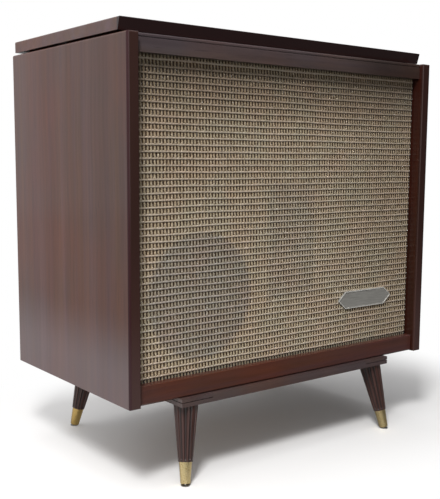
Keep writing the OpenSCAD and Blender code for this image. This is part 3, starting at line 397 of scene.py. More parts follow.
@shared_effect("Flutes", ("Groove",), Foot=(0, 0, 0), Turn=(0, 0, 0))
def flute_effect(g, start, end):
    """Depth in the flutes of a leg that stands on a point and leans with a turn."""
    local = g.add(
        "ShaderNodeMapping",
        {"Vector": start["Vector"], "Location": start["Foot"], "Rotation": start["Turn"]},
        vector_type="TEXTURE",
    ).outputs[0]
    angle = g.math("ARCTAN2", g.axis(local, Y), g.axis(local, X))
    g.set(end["Groove"], g.band(g.math("COSINE", g.times(angle, FLUTES)), -0.5, 0.7))


def drawn_out(axis, factor=0.03):
    """Factors that draw a pattern out along an axis, as the grain of wood by default."""
    return [factor if i == axis else 1.0 for i in (X, Y, Z)]


# ---- materials


def veneer_ground(name, axis, finish, tint=(1.0, 1.0, 1.0), roughness=0.34, bluing=1.0):
    """Lacquered red-brown figured wood, its grain along an axis, with its colour still open.

    bluing is how much the wood drifts to blue and back across the grain.
    """
    g = Finish(
        name, Coat_Roughness=0.12, Coat_Weight=finish.lacquer, Specular_IOR_Level=0.3
    )
    grain = grain_effect(g, drawn_out(axis))
    tone = g.ramp(
        grain["Figure"],
        (0.30, finish.red), (0.44, finish.middle), (0.56, finish.light), (0.70, finish.middle),
    )
    streaked = g.blend(g.band(grain["Streaks"], 0.35, 0.75, 0.30), tone, finish.dark)
    pored = g.blend(g.times(grain["Pores"], 0.5), streaked, finish.dark)
    along = g.scaled(g.place, drawn_out(axis))
    bluish = g.ramp(g.noise(along, 45.0), (0.35, (1.06, 1.0, 0.72)), (0.65, (1.0, 1.06, 1.45)))
    patchy = g.ramp(g.noise(g.place, 5.0), (0.35, (1.12, 0.94, 0.8)), (0.65, (0.86, 1.0, 1.1)))
    wood = g.tinted(g.tinted(g.tinted(pored, bluish, bluing), tint), patchy)
    g.put("Roughness", g.between(grain["Streaks"], roughness - 0.05, roughness + 0.09))
    g.put("Normal", g.bump(grain["Pores"], 0.12, 0.0002))
    return g, wood


def veneer(name, axis, finish, *look):
    """Veneer with no marks; look is the tint, roughness and bluing of veneer_ground."""
    g, wood = veneer_ground(name, axis, finish, *look)
    g.put("Base Color", wood)
    return g.material


def side_veneer(finish, front):
    """Veneer of the side panels: dark front edging with a painted shade on its rounded outer
    corner, painted shade on the inner face before the grille, painted light and shade over the
    panel, and a painted grey reflection of the floor near its foot."""
    g, wood = veneer_ground("veneer_upright", Z, finish, (1.03, 0.96, 0.84))
    sideways, deep, up = (g.axis(g.place, axis) for axis in (X, Y, Z))
    side = g.math("ABSOLUTE", sideways)
    hair = 0.001
    # Painted light and shade: the panel lighter towards the floor and darker towards its top
    wood = g.tinted(wood, g.between(g.band(up, 0.72, 0.32), 0.9, 1.14))
    # Painted shade: the panel darker towards the front
    wood = g.tinted(wood, g.between(g.band(deep, -0.02, -0.2), 1.0, 0.8))
    # Painted shade on the inner face before the grille, darker and redder
    recess_shade = g.times(g.band(side, INNER_X + hair, INNER_X), g.band(deep, -0.160, -0.172))
    wood = g.blend(recess_shade, wood, g.tinted(wood, (0.34, 0.19, 0.13)))
    edge = g.band(deep, front + hair, front)
    # The rounded outer corner of the front edge: dark red as a painted shade, and with less
    # lacquer
    corner = g.band(side, OUTER_X - 0.004, OUTER_X - 0.002)
    foot = g.blend(g.band(up, 0.45, 0.16), finish.dark, finish.leg)
    edged = g.blend(edge, wood, g.blend(corner, foot, srgb(46, 14, 18)))
    # Painted grey reflection of the floor, low on the panel away from its inner face, and faint on
    # the front edge
    low = g.times(g.band(up, 0.31, 0.19), g.band(side, INNER_X, INNER_X + hair))
    floor_reflection = g.times(low, g.between(edge, 0.24, 0.03))
    g.put("Base Color", g.blend(floor_reflection, edged, (0.33, 0.31, 0.34)))
    lacquer = g.between(g.band(deep, 0.06, 0.19), 0.62, 0.88)
    matt = g.math("MAXIMUM", corner, g.band(sideways, 0.0, 0.1))
    dull = g.between(g.times(edge, matt), 1.0, 0.25)
    g.put("Coat Weight", g.times(lacquer, dull))
    return g.material


def top_rail_veneer(finish, tint, bluing):
    """Veneer tinted greyer as a painted reflection, with painted shade that darkens it and thins
    its lacquer towards the right end.
    """
    g, wood = veneer_ground("top_rail_veneer", X, finish, tint, bluing=bluing)
    # Painted shade, darker towards the right end
    right_end_shade = g.between(g.band(g.axis(g.place, X), 0.10, 0.24), 1.0, 0.5)
    g.put("Base Color", g.tinted(wood, right_end_shade))
    g.put("Coat Weight", g.times(right_end_shade, finish.lacquer))
    return g.material


def lid_veneer(finish, front, top):
    """Veneer of the lid, with its dark slanting front edge darkened as painted shade, and its top
    worn to a satin.
    """
    g, wood = veneer_ground("lid_veneer", X, finish)
    deep = g.axis(g.place, Y)
    # Painted shade: the slanting front edge dark
    edge = g.band(deep, front + 0.001, front)
    g.put("Base Color", g.blend(edge, wood, finish.edge))
    on_top = g.band(g.axis(g.place, Z), top - 0.0004, top - 0.0001)
    satin = g.times(on_top, g.math("SUBTRACT", 1.0, edge))
    wear = wear_effect(g, 2.0)
    rear_lacquer, satin_lacquer = 0.62, 0.12
    lacquer = g.between(g.band(deep, 0.0, 0.2), finish.lacquer, rear_lacquer)
    g.put("Coat Weight", g.times(lacquer, g.between(satin, 1.0, satin_lacquer)))
    worn = g.times(satin, g.between(wear["Clouds"], 0.46, 0.60))
    glossy = g.out["Roughness"].links[0].from_socket
    g.put("Roughness", g.math("MAXIMUM", glossy, worn))
    return g.material


def leg_wood(name, finish, side, fore):
    """Dark turned wood, its grain along the leg, with painted shade in its flutes and a painted
    highlight on their ridges.

    side is -1 or 1 for left or right, and fore is -1 or 1 for front or rear.
    """
    g = Finish(name, Coat_Roughness=0.2, Coat_Weight=0.45)
    grain = grain_effect(g, drawn_out(Z), 1.8)
    foot = Vector((side * LEG_X, LEG_Y[fore > 0], 0.0))
    turn = Vector((0.0, LEG_TILT, math.atan2(-fore * SPLAY[Y], -side * SPLAY[X])))
    flutes = flute_effect(g, foot, turn)
    tone = g.ramp(grain["Figure"], (0.32, finish.dark), (0.5, finish.leg), (0.68, finish.red))
    streaked = g.blend(g.times(grain["Pores"], 0.6), tone, finish.dark)
    # Painted highlight on the ridges and painted shade in the flutes
    ridge, hollow = 1.35, 0.4
    shaded = g.tinted(streaked, g.between(flutes["Groove"], ridge, hollow))
    g.dress(shaded, (grain["Streaks"], 0.3, 0.5), (grain["Pores"], 0.15, 0.0002))
    return g.material


def raw_board(name, axis, pale, dark, roughness=0.75):
    """Unpolished board with soft grain and handling marks."""
    g = Finish(name)
    grain = grain_effect(g, drawn_out(axis), 0.8)
    wear = wear_effect(g, 1.4)
    tone = g.ramp(grain["Figure"], (0.35, dark), (0.6, pale))
    pored = g.blend(g.times(grain["Pores"], 0.4), tone, dark)
    soiled = g.blend(g.band(wear["Clouds"], 0.5, 0.75, 0.3), pored, dark)
    g.dress(soiled, (grain["Streaks"], roughness - 0.1, roughness + 0.1),
            (grain["Streaks"], 0.2, 0.0003))
    return g.material


def pressed_board():
    """Brown fibre board, mottled and finely flecked."""
    g = Finish("pressed_board")
    wear = wear_effect(g, 1.0)
    tone = g.ramp(wear["Clouds"], (0.3, srgb(106, 75, 51)), (0.7, srgb(118, 84, 58)))
    flecked = g.blend(g.band(wear["Speckle"], 0.5, 0.68), tone, srgb(70, 46, 31))
    g.dress(g.blend(0.5, tone, flecked), (wear["Speckle"], 0.55, 0.8),
            (wear["Speckle"], 0.25, 0.0003))
    return g.material


def yarn(name, colour, depth, glint, fleck_level, axis):
    """Twisted yarn with slubs, browner down in its twist, and now and then a metallic fleck."""
    g = Finish(name, Sheen_Weight=0.25, Sheen_Roughness=0.4)
    dark = tuple(c * depth * k for c, k in zip(colour, (1.0, 0.98, 0.90)))
    slubs, fibres, flecks = 190.0, 2400.0, 900.0
    slub = g.noise(g.place, slubs, 2.0, 0.6)
    fibre = g.noise(g.scaled(g.place, drawn_out(axis, 0.3)), fibres)
    tone = g.ramp(slub, (0.32, dark), (0.62, colour))
    tone = g.blend(g.band(fibre, 0.35, 0.75), tone, dark)
    tone = g.blend(0.55, tone, g.ramp(slub, (0.30, dark), (0.55, colour)))
    spark = g.band(g.noise(g.place, flecks, 0.0), fleck_level, fleck_level + 0.04)
    g.dress(cloth_tone(g, g.blend(spark, tone, glint)), (spark, 0.8, 0.25), (fibre, 0.4, 0.0004))
    g.put("Metallic", g.times(spark, 0.6))
    return g.material


def cloth_tone(g, tone, gap_shadow=0.5):
    """A colour of the cloth with its patches, its painted shade and light, the painted shadow at
    its lower edge and the painted shade over the openings behind it."""
    cloth = cloth_effect(g)
    patches = g.ramp(cloth["Patches"], (0.36, (1.04, 0.98, 0.95)), (0.64, (0.97, 1.0, 0.98)))
    # Painted shade over the openings makes the cloth cooler and darker, and the cloth turns warmer
    # where its painted shade lies
    shade_over_opening, in_shade = (0.75, 0.78, 0.86), (1.0, 0.88, 0.74)
    tone = g.tinted(tone, patches)
    tone = g.blend(cloth["Opening"], tone, g.tinted(tone, shade_over_opening))
    dusky = g.math("SUBTRACT", 1.0, cloth["Shade"], clamp=True)
    tone = g.blend(dusky, tone, g.tinted(tone, in_shade))
    return g.tinted(tone, g.times(cloth["Shade"], g.between(cloth["Gap_Shadow"], 1.0, gap_shadow)))


def scrim_cloth(grille):
    """Thin dark open backing, with fine holes between its threads."""
    g = Finish("scrim_cloth", Roughness=0.9)
    thread_pitch = 0.0014
    weave = [
        g.math("SINE", g.times(g.axis(g.place, axis), FULL_TURN / thread_pitch))
        for axis in (X, Z)
    ]
    threads = g.math("MAXIMUM", *weave)
    tone = g.ramp(g.noise(g.place, 60.0, 3.0), (0.3, srgb(66, 46, 28)), (0.7, grille.scrim))
    # The scrim takes the cloth's painted shade, and a painted shadow nearly black at its lower
    # edge
    g.put("Base Color", cloth_tone(g, tone, gap_shadow=0.02))
    g.put("Alpha", g.band(threads, -0.1, 0.1))
    g.put("Normal", g.bump(threads, 0.3, 0.0004))
    return g.material


def plaque_metal(rim_y):
    """Polished rim round a brushed grey field."""
    g = Finish("plaque_metal", Metallic=0.55)
    lines = brushed_effect(g, (0.012, 1, 1))
    field = g.band(g.axis(g.place, Y), rim_y + 0.0003, rim_y + 0.0006)
    grey = g.ramp(lines["Lines"], (0.3, srgb(150, 148, 142)), (0.7, srgb(196, 193, 186)))
    g.dress(g.blend(field, srgb(250, 248, 242), grey), (field, 0.3, 0.46),
            (g.times(lines["Lines"], field), 0.15, 0.0002))
    return g.material


def tarnished(colour, share=0.8):
    """The deeper colour of a metal where it has tarnished."""
    return tuple(c * c * share for c in colour)


def turned_metal(name, colour, roughness, stretch=(1, 1, 0.012), tarnish=0.35, wear_size=0.35,
                 polished=False):
    """Drawn or turned metal with faint lines, clouds of tarnish and hairline scratches."""
    g = Finish(name, Metallic=1.0)
    lines = brushed_effect(g, stretch)
    wear = wear_effect(g, wear_size)
    marked = 0.12 if polished else 1.0
    tone = g.blend(g.band(wear["Clouds"], 0.45, 0.8, tarnish), colour, tarnished(colour))
    line = g.band(lines["Lines"], 0.4, 0.8, 0.25 * marked)
    g.put("Base Color", g.blend(line, tone, tarnished(colour)))
    base = g.between(lines["Bands"], roughness - 0.05 * marked, roughness + 0.1 * marked)
    scratched = g.times(wear["Scratches"], 0.2 * marked)
    g.put("Roughness", g.math("ADD", base, scratched))
    if not polished:
        g.put("Normal", g.bump(lines["Lines"], 0.08, 0.0002))
    return g.material


def ferrule_brass(colour):
    """Pitted brass, darker and duller on the rear ferrules as painted shade."""
    g = Finish("ferrule_brass", Metallic=1.0)
    wear = wear_effect(g, 2.0)
    pits = g.noise(g.place, 420.0, 2.0, 0.6)
    deep = tarnished(colour, 0.6)
    tone = g.blend(g.band(pits, 0.52, 0.68, 0.7), colour, deep)
    tone = g.blend(g.band(wear["Clouds"], 0.5, 0.8, 0.2), tone, deep)
    # Painted shade: the rear ferrules darker, with the tarnished colour
    rear = g.band(g.axis(g.place, Y), 0.0, 0.2, 0.75)
    g.dress(g.blend(rear, tone, tarnished(colour)), (pits, 0.12, 0.32), (pits, 0.15, 0.0004))
    return g.material


def enamel(name, colour, roughness, grit=0.06):
    """Paint or moulding with faint orange peel, rubbed patches and scratches."""
    g = Finish(name, Coat_Weight=0.15, Coat_Roughness=0.2)
    wear = wear_effect(g, 0.8)
    deep = tuple(c * 0.72 for c in colour)
    tone = g.blend(g.band(wear["Clouds"], 0.4, 0.8, 0.35), colour, deep)
    tone = g.blend(g.times(wear["Scratches"], 0.25), tone, deep)
    g.dress(tone, (wear["Clouds"], roughness - 0.06, roughness + 0.12),
            (wear["Speckle"], grit, 0.0002))
    return g.material


def matt_rubber(colour):
    """Dull rubber with cloudy greyer patches."""
    g = Finish("matt_rubber", Specular_IOR_Level=0.35)
    wear = wear_effect(g, 0.6)
    grey = tuple(c + 0.012 for c in colour)
    g.dress(g.blend(g.band(wear["Clouds"], 0.4, 0.85), colour, grey),
            (wear["Speckle"], 0.62, 0.88), (wear["Speckle"], 0.3, 0.0002))
    return g.material


def clear_glass():
    """Valve glass with faint smoky patches."""
    g = Finish(
        "valve_glass", Roughness=0.03, IOR=1.5, Transmission_Weight=0.9
    )
    wear = wear_effect(g, 0.5)
    tint = g.blend(g.band(wear["Clouds"], 0.4, 0.8), srgb(236, 242, 244), srgb(206, 214, 216))
    g.put("Base Color", tint)
    return g.material


def cone_paper():
    """Dark, finely flecked paper pulp."""
    g = Finish("cone_paper", Sheen_Weight=0.2)
    wear = wear_effect(g, 0.7)
    tone = g.ramp(wear["Speckle"], (0.3, srgb(38, 35, 33)), (0.75, srgb(74, 69, 64)))
    g.dress(tone, (wear["Clouds"], 0.75, 0.95), (wear["Speckle"], 0.5, 0.0004))
    return g.material


def paint(material, *names):
    """Gives CAD nodes this material in every slot."""
    for name in names:
        if not NODES[name].material_slots:
            NODES[name].data.materials.append(material)
        for slot in NODES[name].material_slots:
            slot.material = material


# ---- mesh tools


def new_mesh(name, points, faces):
    mesh = bpy.data.meshes.new(name)
    mesh.from_pydata(points, [], faces)
    return mesh


def new_object(name, data):
    """A new object in the scene."""
    thing = bpy.data.objects.new(name, data)
    bpy.context.scene.collection.objects.link(thing)
    return thing


def add_piece(name, mesh, material, smooth=True):
    """Puts a new piece in the scene, as a part of the cabinet."""
    piece = new_object(name, mesh)
    mesh.materials.append(material)
    if smooth:
        mesh.shade_smooth()
    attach(piece, "cabinet")
    return piece


def yarn_mesh(name, paths, half_width, half_depth, axis, sides):
    """One closed tube along each path; half_width is across the cloth, half_depth is along Y."""
    count, steps, _ = paths.shape
    across = Z if axis == X else X
    turn = np.arange(sides) * FULL_TURN / sides
    rings = np.repeat(paths[:, :, None, :], sides, axis=2)
    rings[..., across] += half_width[:, :, None] * np.cos(turn)
    rings[..., Y] += half_depth[:, :, None] * np.sin(turn)
    start = (np.arange(count)[:, None] * steps + np.arange(steps)) * sides
    here, there = start[:, :-1, None], start[:, 1:, None]
    side, following = np.arange(sides), (np.arange(sides) + 1) % sides
    quads = np.stack([here + side, here + following, there + following, there + side], axis=-1)
    first, last = start[:, 0, None] + side, start[:, -1, None] + side[::-1]
    if axis == X:
        quads = quads[..., ::-1]
    else:
        first, last = first[:, ::-1], last[:, ::-1]
    faces = [face for part in (quads.reshape(-1, 4), first, last) for face in part.tolist()]
    return new_mesh(name, rings.reshape(-1, 3), faces)


def prisms(name, shapes):
    """Upright prisms; each shape is an outline, its low and high ends, and the chamfer by which
    its top edge is drawn in."""
    points, faces = [], []
    for outline, low, high, chamfer in shapes:
        middle = np.mean(outline, axis=0)
        drawn = [middle + (p - middle) * (1 - chamfer / np.linalg.norm(p - middle))
                 for p in outline]
        start, count = len(points), len(outline)
        for ring, height in ((outline, low), (outline, high - chamfer), (drawn, high)):
            points += [(x, y, height) for x, y in ring]
        faces.append(tuple(start + k for k in reversed(range(count))))
        faces.append(tuple(start + 2 * count + k for k in range(count)))
        for first in (start, start + count):
            faces += [
                (first + k, first + (k + 1) % count,
                 first + count + (k + 1) % count, first + count + k)
                for k in range(count)
            ]
    return new_mesh(name, points, faces)


def add_screws(name, places, radius, seat, slot_turns):
    """Low screw heads: one half on each side of a slot, over a thin disc."""
    head_height, head_chamfer = 0.0013, 0.0004
    disc_height, disc_chamfer = 0.0005, 0.0001
    lean = math.asin(0.13)  # half the slot's width as a share of the radius
    arc = np.linspace(lean, math.pi - lean, 13)
    half = radius * np.stack([np.cos(arc), np.sin(arc)], axis=1)
    turn = np.arange(24) * math.pi / 12
    disc = 0.97 * radius * np.stack([np.cos(turn), np.sin(turn)], axis=1)
    heads, discs = [], []
    for place, slot_turn in zip(places, slot_turns):
        cosine, sine = math.cos(slot_turn), math.sin(slot_turn)
        to_place = np.array(((cosine, sine), (-sine, cosine)))
        for outline in (half @ to_place + place, -half @ to_place + place):
            heads.append((outline, seat, seat + head_height, head_chamfer))
        discs.append((disc + place, seat, seat + disc_height, disc_chamfer))
    add_piece(name, prisms(name, heads + discs), bpy.data.materials["zinc"],
              smooth=False)


def soft_wave(x, z, seed):
    """A slow drift of the weave, the same for neighbouring yarns."""
    draw = np.random.RandomState(seed)
    waves = 5
    total = np.zeros(np.broadcast(x, z).shape)
    for _ in range(waves):
        long_x, long_z = draw.uniform(0.12, 0.5, 2)
        phase = draw.uniform(0, FULL_TURN)
        total = total + np.sin(FULL_TURN * (x / long_x + z / long_z) + phase)
    return total / waves


# ---- operators


class CONSOLE_OT_studio(bpy.types.Operator):
    """Set up the camera, the pale floor and the soft lights"""

    bl_idname = "record_console.studio"
    bl_label = "Studio"

    def execute(self, context):
        scene = context.scene
        scene.view_settings.view_transform = "Standard"
        self.camera(scene)
        self.floor(scene)
        self.world(scene)
        self.lamp("key", (-1.5, -1.4, 2.5), 0.3, (0.5, 0.7), 76.0)
        self.lamp("overhead", (-0.4, 0.0, 2.7), 0.3, (2.2, 2.2), 28.0)
        self.lamp("front_fill", (-0.6, -2.8, 0.9), 0.45, (1.2, 1.2), 9.0)
        return {"FINISHED"}

    def camera(self, scene):
        studio = scene.console_studio
        camera = new_object("camera", bpy.data.cameras.new("camera"))
        camera.data.lens = studio.focal
        camera.data.sensor_width = 36.0
        camera.data.shift_x = -0.0008
        camera.data.shift_y = 0.0219
        level = Matrix.Rotation(-studio.yaw, 4, "Z")
        tilt = Matrix.Rotation(math.radians(90) - studio.pitch, 4, "X")
        roll = Matrix.Rotation(studio.roll, 4, "Z")
        camera.matrix_world = Matrix.Translation(studio.camera_at) @ level @ tilt @ roll
        scene.camera = camera

    def floor(self, scene):
        """Pale floor that keeps the shadow near the console and turns white further off."""
        half = 6.0
        corners = [(-half, -half, 0), (half, -half, 0), (half, half, 0), (-half, half, 0)]
        mesh = new_mesh("floor", corners, [(0, 1, 2, 3)])
        floor = new_object("floor", mesh)
        g = Finish("pale_floor", Roughness=0.6)
        mesh.materials.append(g.material)
        colour = scene.console_studio.floor
        pale = tuple(min(1.0, c * 1.02) for c in colour)
        lit = g.blend(g.noise(g.place, 3.0, 3.0), colour, pale)
        shown = g.add("ShaderNodeLightPath").outputs["Is Camera Ray"]
        # Bounced light and reflections see a darker floor, darkest to the front right
        dim = g.band(g.vector("DOT_PRODUCT", g.place, (0.68, -0.73, 0.0)), -0.3, 0.7)
        unseen = g.blend(dim, srgb(186, 184, 182), srgb(84, 83, 82))
        g.put("Base Color", g.blend(shown, unseen, lit))
        # The floor glows an even white off a patch under the console, more dimly for bounced light
        # and reflections; at the rear left the same glow lifts the shadow a little as painted
        # light
        patch_x, patch_half = 0.125, (0.415, 0.21)
        away = g.vector("ABSOLUTE", g.shifted(g.place, (-patch_x, 0.0, 0.0)))
        past = g.vector("MAXIMUM", g.shifted(away, (-patch_half[X], -patch_half[Y], 0.0)))
        behind = g.math("SUBTRACT", g.axis(g.place, Y), g.axis(g.place, X))
        # Painted light: a little of the white glow over the shadow at the rear left
        rear_left_painted_light = g.band(behind, 0.03, 0.62, 0.28)
        white = g.math("MAXIMUM", rear_left_painted_light, g.band(g.vector("LENGTH", past), 0.02, 0.34))
        glow = g.math("MAXIMUM", shown, g.between(dim, 0.45, 0.08))
        emission = g.add("ShaderNodeEmission", {"Strength": glow}).outputs[0]
        shader = g.tree.nodes["Principled BSDF"].outputs[0]
        mixed = g.add("ShaderNodeMixShader", {0: white, 1: shader, 2: emission})
        g.set(g.tree.nodes["Material Output"].inputs["Surface"], mixed.outputs[0])

    def world(self, scene):
        """White for the camera, and a soft grey room for the light."""
        scene.world = bpy.data.worlds.new("studio")
        scene.world.use_nodes = True
        g = Graph(scene.world.node_tree)
        background = scene.world.node_tree.nodes["Background"]
        shown = g.add("ShaderNodeLightPath").outputs["Is Camera Ray"]
        way = g.add("ShaderNodeTexCoord").outputs["Generated"]
        towards = g.vector("DOT_PRODUCT", way, Vector((-0.89, 0.10, 0.44)))
        room = g.ramp(
            g.band(towards, -0.6, 1.0), (0.0, (0.06, 0.06, 0.06)), (1.0, (0.74, 0.74, 0.75))
        )
        g.set(background.inputs["Color"], g.blend(shown, room, (1, 1, 1)))

    def lamp(self, name, place, target_height, size, power):
        """A soft rectangular lamp that faces a point over the origin."""
        light = bpy.data.lights.new(name, "AREA")
        light.shape = "RECTANGLE"
        light.size, light.size_y = size
        light.energy = power
        lamp = new_object(name, light)
        lamp.location = place
        way = Vector((0, 0, target_height)) - Vector(place)
        lamp.rotation_euler = way.to_track_quat("-Z", "Y").to_euler()


class CONSOLE_OT_case(bpy.types.Operator):
    """Finish the case, the lid and the leg frame in lacquered wood"""

    bl_idname = "record_console.case"
    bl_label = "Case"

    def execute(self, context):
        wood = context.scene.console_wood
        panel_edge, lid_edge = 0.0042, 0.007
        panel_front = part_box("side_panel_left")[0].y + panel_edge
        paint(side_veneer(wood, panel_front), "side_panel_left", "side_panel_right")
        less_blue = 0.25
        # The top rail's greyer tint stands for a painted reflection
        paint(top_rail_veneer(wood, (0.78, 1.35, 1.8), less_blue), "top_rail")
        paint(veneer("bottom_rail_veneer", X, wood, (0.98, 0.84, 0.72)), "bottom_rail")
        lid_low, lid_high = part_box("lid_panel")
        paint(lid_veneer(wood, lid_low.y + lid_edge, lid_high.z), "lid_panel")
        frame_look = ((0.95, 1.5, 1.9), 0.42, less_blue)
        paint(veneer("frame_wood", X, wood, *frame_look), "frame_front_board", "frame_rear_board")
        paint(veneer("frame_cross_wood", Y, wood, *frame_look), "frame_left_board",
              "frame_right_board")
        paint(raw_board("stained_board", X, srgb(72, 46, 38), srgb(44, 28, 24), 0.55),
              "deck_board", "rear_rail")
        paint(raw_board("baffle_stain", X, srgb(66, 52, 40), srgb(44, 34, 27)), "baffle_board")
        paint(raw_board("plain_ply", X, srgb(178, 146, 106), srgb(134, 102, 68)),
              "bottom_board", "glue_blocks")
        paint(pressed_board(), "back_panel")
        return {"FINISHED"}


class CONSOLE_OT_legs(bpy.types.Operator):
    """Finish the legs, their brass ferrules and the fixings"""

    bl_idname = "record_console.legs"
    bl_label = "Legs"

    def execute(self, context):
        wood, metal = context.scene.console_wood, context.scene.console_metal
        for fore, end in ((-1, "front"), (1, "rear")):
            for side, hand in ((-1, "left"), (1, "right")):
                name = f"leg_{end}_{hand}"
                paint(leg_wood(name + "_wood", wood, side, fore), name)
        paint(ferrule_brass(metal.brass), "leg_ferrules")
        paint(turned_metal("zinc", metal.steel, 0.36), "leg_fixings", "back_panel_screws",
              "hinge_pins")
        return {"FINISHED"}


class CONSOLE_OT_grille(bpy.types.Operator):
    """Weave the grille: thick rows, upright yarns, thin threads and a dark scrim"""

    bl_idname = "record_console.grille"
    bl_label = "Grille"

    # How far the rows drift up and down over the cloth, and the seed of that drift
    sway, sway_seed = 0.0011, 3

    def execute(self, context):
        self.weave = context.scene.console_grille
        self.low, self.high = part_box("grille_cloth")
        self.rows = self.row_heights()
        scrim = self.scrim()
        yarns = [self.thick_rows(), self.upright_yarns(), self.thin_threads()]
        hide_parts("grille_cloth")
        return {"FINISHED"}

    def row_heights(self):
        """Heights of the thick rows, from the top one down."""
        first = self.high.z - self.weave.first_row
        return np.arange(first, self.low.z, -self.weave.row_pitch)

    def spans(self, heights, across, draw, jitter):
        """Paths across the width at the given heights, with a random jitter."""
        paths = np.zeros((len(heights), len(across), 3))
        paths[..., X] = across
        paths[..., Z] = heights[:, None]
        paths[..., Z] += self.sway * soft_wave(across, heights[:, None], self.sway_seed)
        paths[..., Z] += draw.normal(0, jitter, paths.shape[:2])
        return paths

    def layer(self, name, paths, half_width, flatness, axis, sides, finish):
        """Adds one layer of yarns; finish is the material's name, its colour, the depth of its
        dark side and the level of noise above which a fleck shows."""
        mesh = yarn_mesh(name, paths, half_width, flatness * half_width, axis, sides)
        material_name, colour, depth, fleck_level = finish
        material = yarn(material_name, colour, depth, self.weave.glint, fleck_level, axis)
        return add_piece(name, mesh, material)

    def scrim(self):
        """A flat sheet just before the cloth's back."""
        steps_x, steps_z = 48, 40
        depth = self.high.y - 0.0003
        xs = np.linspace(self.low.x, self.high.x, steps_x + 1)
        zs = np.linspace(self.low.z, self.high.z, steps_z + 1)
        row = steps_x + 1
        faces = [
            (k, k + 1, k + row + 1, k + row)
            for j in range(steps_z) for k in range(j * row, j * row + steps_x)
        ]
        mesh = new_mesh("grille_scrim", [(x, depth, z) for z in zs for x in xs], faces)
        return add_piece("grille_scrim", mesh, scrim_cloth(self.weave))

    def thick_rows(self):
        """Flat rows that lie back a little where they cross the upright yarns."""
        weave, draw = self.weave, np.random.RandomState(11)
        jitter, ripple, uneven = 0.00008, 0.0001, 0.13
        across = np.arange(self.low.x, self.high.x, weave.warp_pitch / 2)
        paths = self.spans(self.rows, across, draw, jitter)
        crossing = np.cos(FULL_TURN * (across - self.low.x) / weave.warp_pitch)
        paths[..., Y] = self.low.y + weave.row_radius * 0.35 - ripple * crossing
        swell = 1 + uneven * draw.normal(0, 1, paths.shape[:2]).clip(-2, 2)
        return self.layer("grille_thick_rows", paths, weave.row_radius * swell, 0.45, X, 6,
                          ("thick_yarn", weave.row, 0.76, 0.67))

    def upright_yarns(self):
        """Upright yarns that come forward and swell above each row, and thin out below it."""
        weave, draw = self.weave, np.random.RandomState(12)
        wander, wander_seed, jitter, behind = 0.0005, 5, 0.0002, 0.0010
        in_and_out, pinched, uneven = 0.00045, 0.15, 0.1
        xs = np.arange(self.low.x + weave.warp_pitch / 2, self.high.x, weave.warp_pitch)
        zs = np.arange(self.low.z + 0.0002, self.high.z, weave.row_pitch / 6)
        paths = np.zeros((len(xs), len(zs), 3))
        paths[..., X] = xs[:, None] + wander * soft_wave(xs[:, None], zs, wander_seed)
        paths[..., X] += draw.normal(0, jitter, paths.shape[:2])
        paths[..., Z] = zs
        drift = self.sway * soft_wave(xs[:, None], zs, self.sway_seed)
        phase = FULL_TURN * (zs - self.rows[0] - drift) / weave.row_pitch
        bend = np.sin(phase) + 0.4 * np.sin(2 * phase)
        paths[..., Y] = self.low.y + behind - in_and_out * bend
        pinch = 1 + pinched * bend + uneven * draw.normal(0, 1, paths.shape[:2]).clip(-2, 2)
        return self.layer("grille_upright_yarns", paths, weave.warp_half * pinch, 0.3, Z, 6,
                          ("upright_yarn", weave.warp, 0.68, 0.70))

    def thin_threads(self):
        """One thin dark thread between each two rows."""
        weave, draw = self.weave, np.random.RandomState(13)
        jitter, behind = 0.0002, 0.0012
        across = np.arange(self.low.x, self.high.x, weave.warp_pitch)
        paths = self.spans(self.rows[1:] + weave.row_pitch / 2, across, draw, jitter)
        paths[..., Y] = self.low.y + behind
        half = np.full(paths.shape[:2], weave.thread_radius)
        return self.layer("grille_thin_threads", paths, half, 0.5, X, 5,
                          ("thin_thread", weave.thread, 0.5, 0.72))


class CONSOLE_OT_plaque(bpy.types.Operator):
    """Polish the plaque's rim and brush its bare field"""

    bl_idname = "record_console.plaque"
    bl_label = "Plaque"

    def execute(self, context):
        paint(plaque_metal(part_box("grille_plaque")[0].y), "grille_plaque")
        return {"FINISHED"}


class CONSOLE_OT_changer(bpy.types.Operator):
    """Finish the record changer and the lid's fittings"""

    bl_idname = "record_console.changer"
    bl_label = "Record changer"

    def execute(self, context):
        metal = context.scene.console_metal
        paint(enamel("cream_enamel", metal.cream, 0.34), "changer_plate")
        paint(enamel("cream_moulding", metal.cream, 0.26, 0.03), "tonearm", "tonearm_pedestal",
              "arm_rest", "speed_lever", "function_lever")
        paint(turned_metal("plated_steel", metal.steel, 0.27, (1, 1, 1), 0.08, wear_size=1.5,
                           polished=True),
              "platter", "record_spindle", "tonearm_gimbal", "record_overarm", "stay_track",
              "stay_arm", "stay_bracket")
        paint(turned_metal("core_steel", srgb(132, 132, 134), 0.5, (1, 1, 0.02), 0.5),
              "motor_body", "control_pots", "amplifier_chassis", "transformers")
        paint(turned_metal("hinge_brass", metal.brass, 0.32, (0.02, 1, 1)),
              "hinge_fixed_leaves", "hinge_moving_leaves", "motor_pulley")
        paint(matt_rubber(metal.black), "platter_mat", "idler_wheel", "lid_bumpers")
        paint(enamel("black_moulding", metal.black, 0.5), "cartridge", "mains_inlet",
              "treble_horn")
        low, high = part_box("changer_plate")
        platter_gap, screw_radius = 0.0025, 0.0042
        plate_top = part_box("platter")[0].z - platter_gap
        corners = ((low.x + 0.016, low.y + 0.016), (low.x + 0.080, high.y - 0.014),
                   (high.x - 0.014, high.y - 0.014), (high.x - 0.012, low.y + 0.012))
        add_screws("plate_screws", corners, screw_radius, plate_top, (0.4, 1.9, 2.6, 1.1))
        return {"FINISHED"}


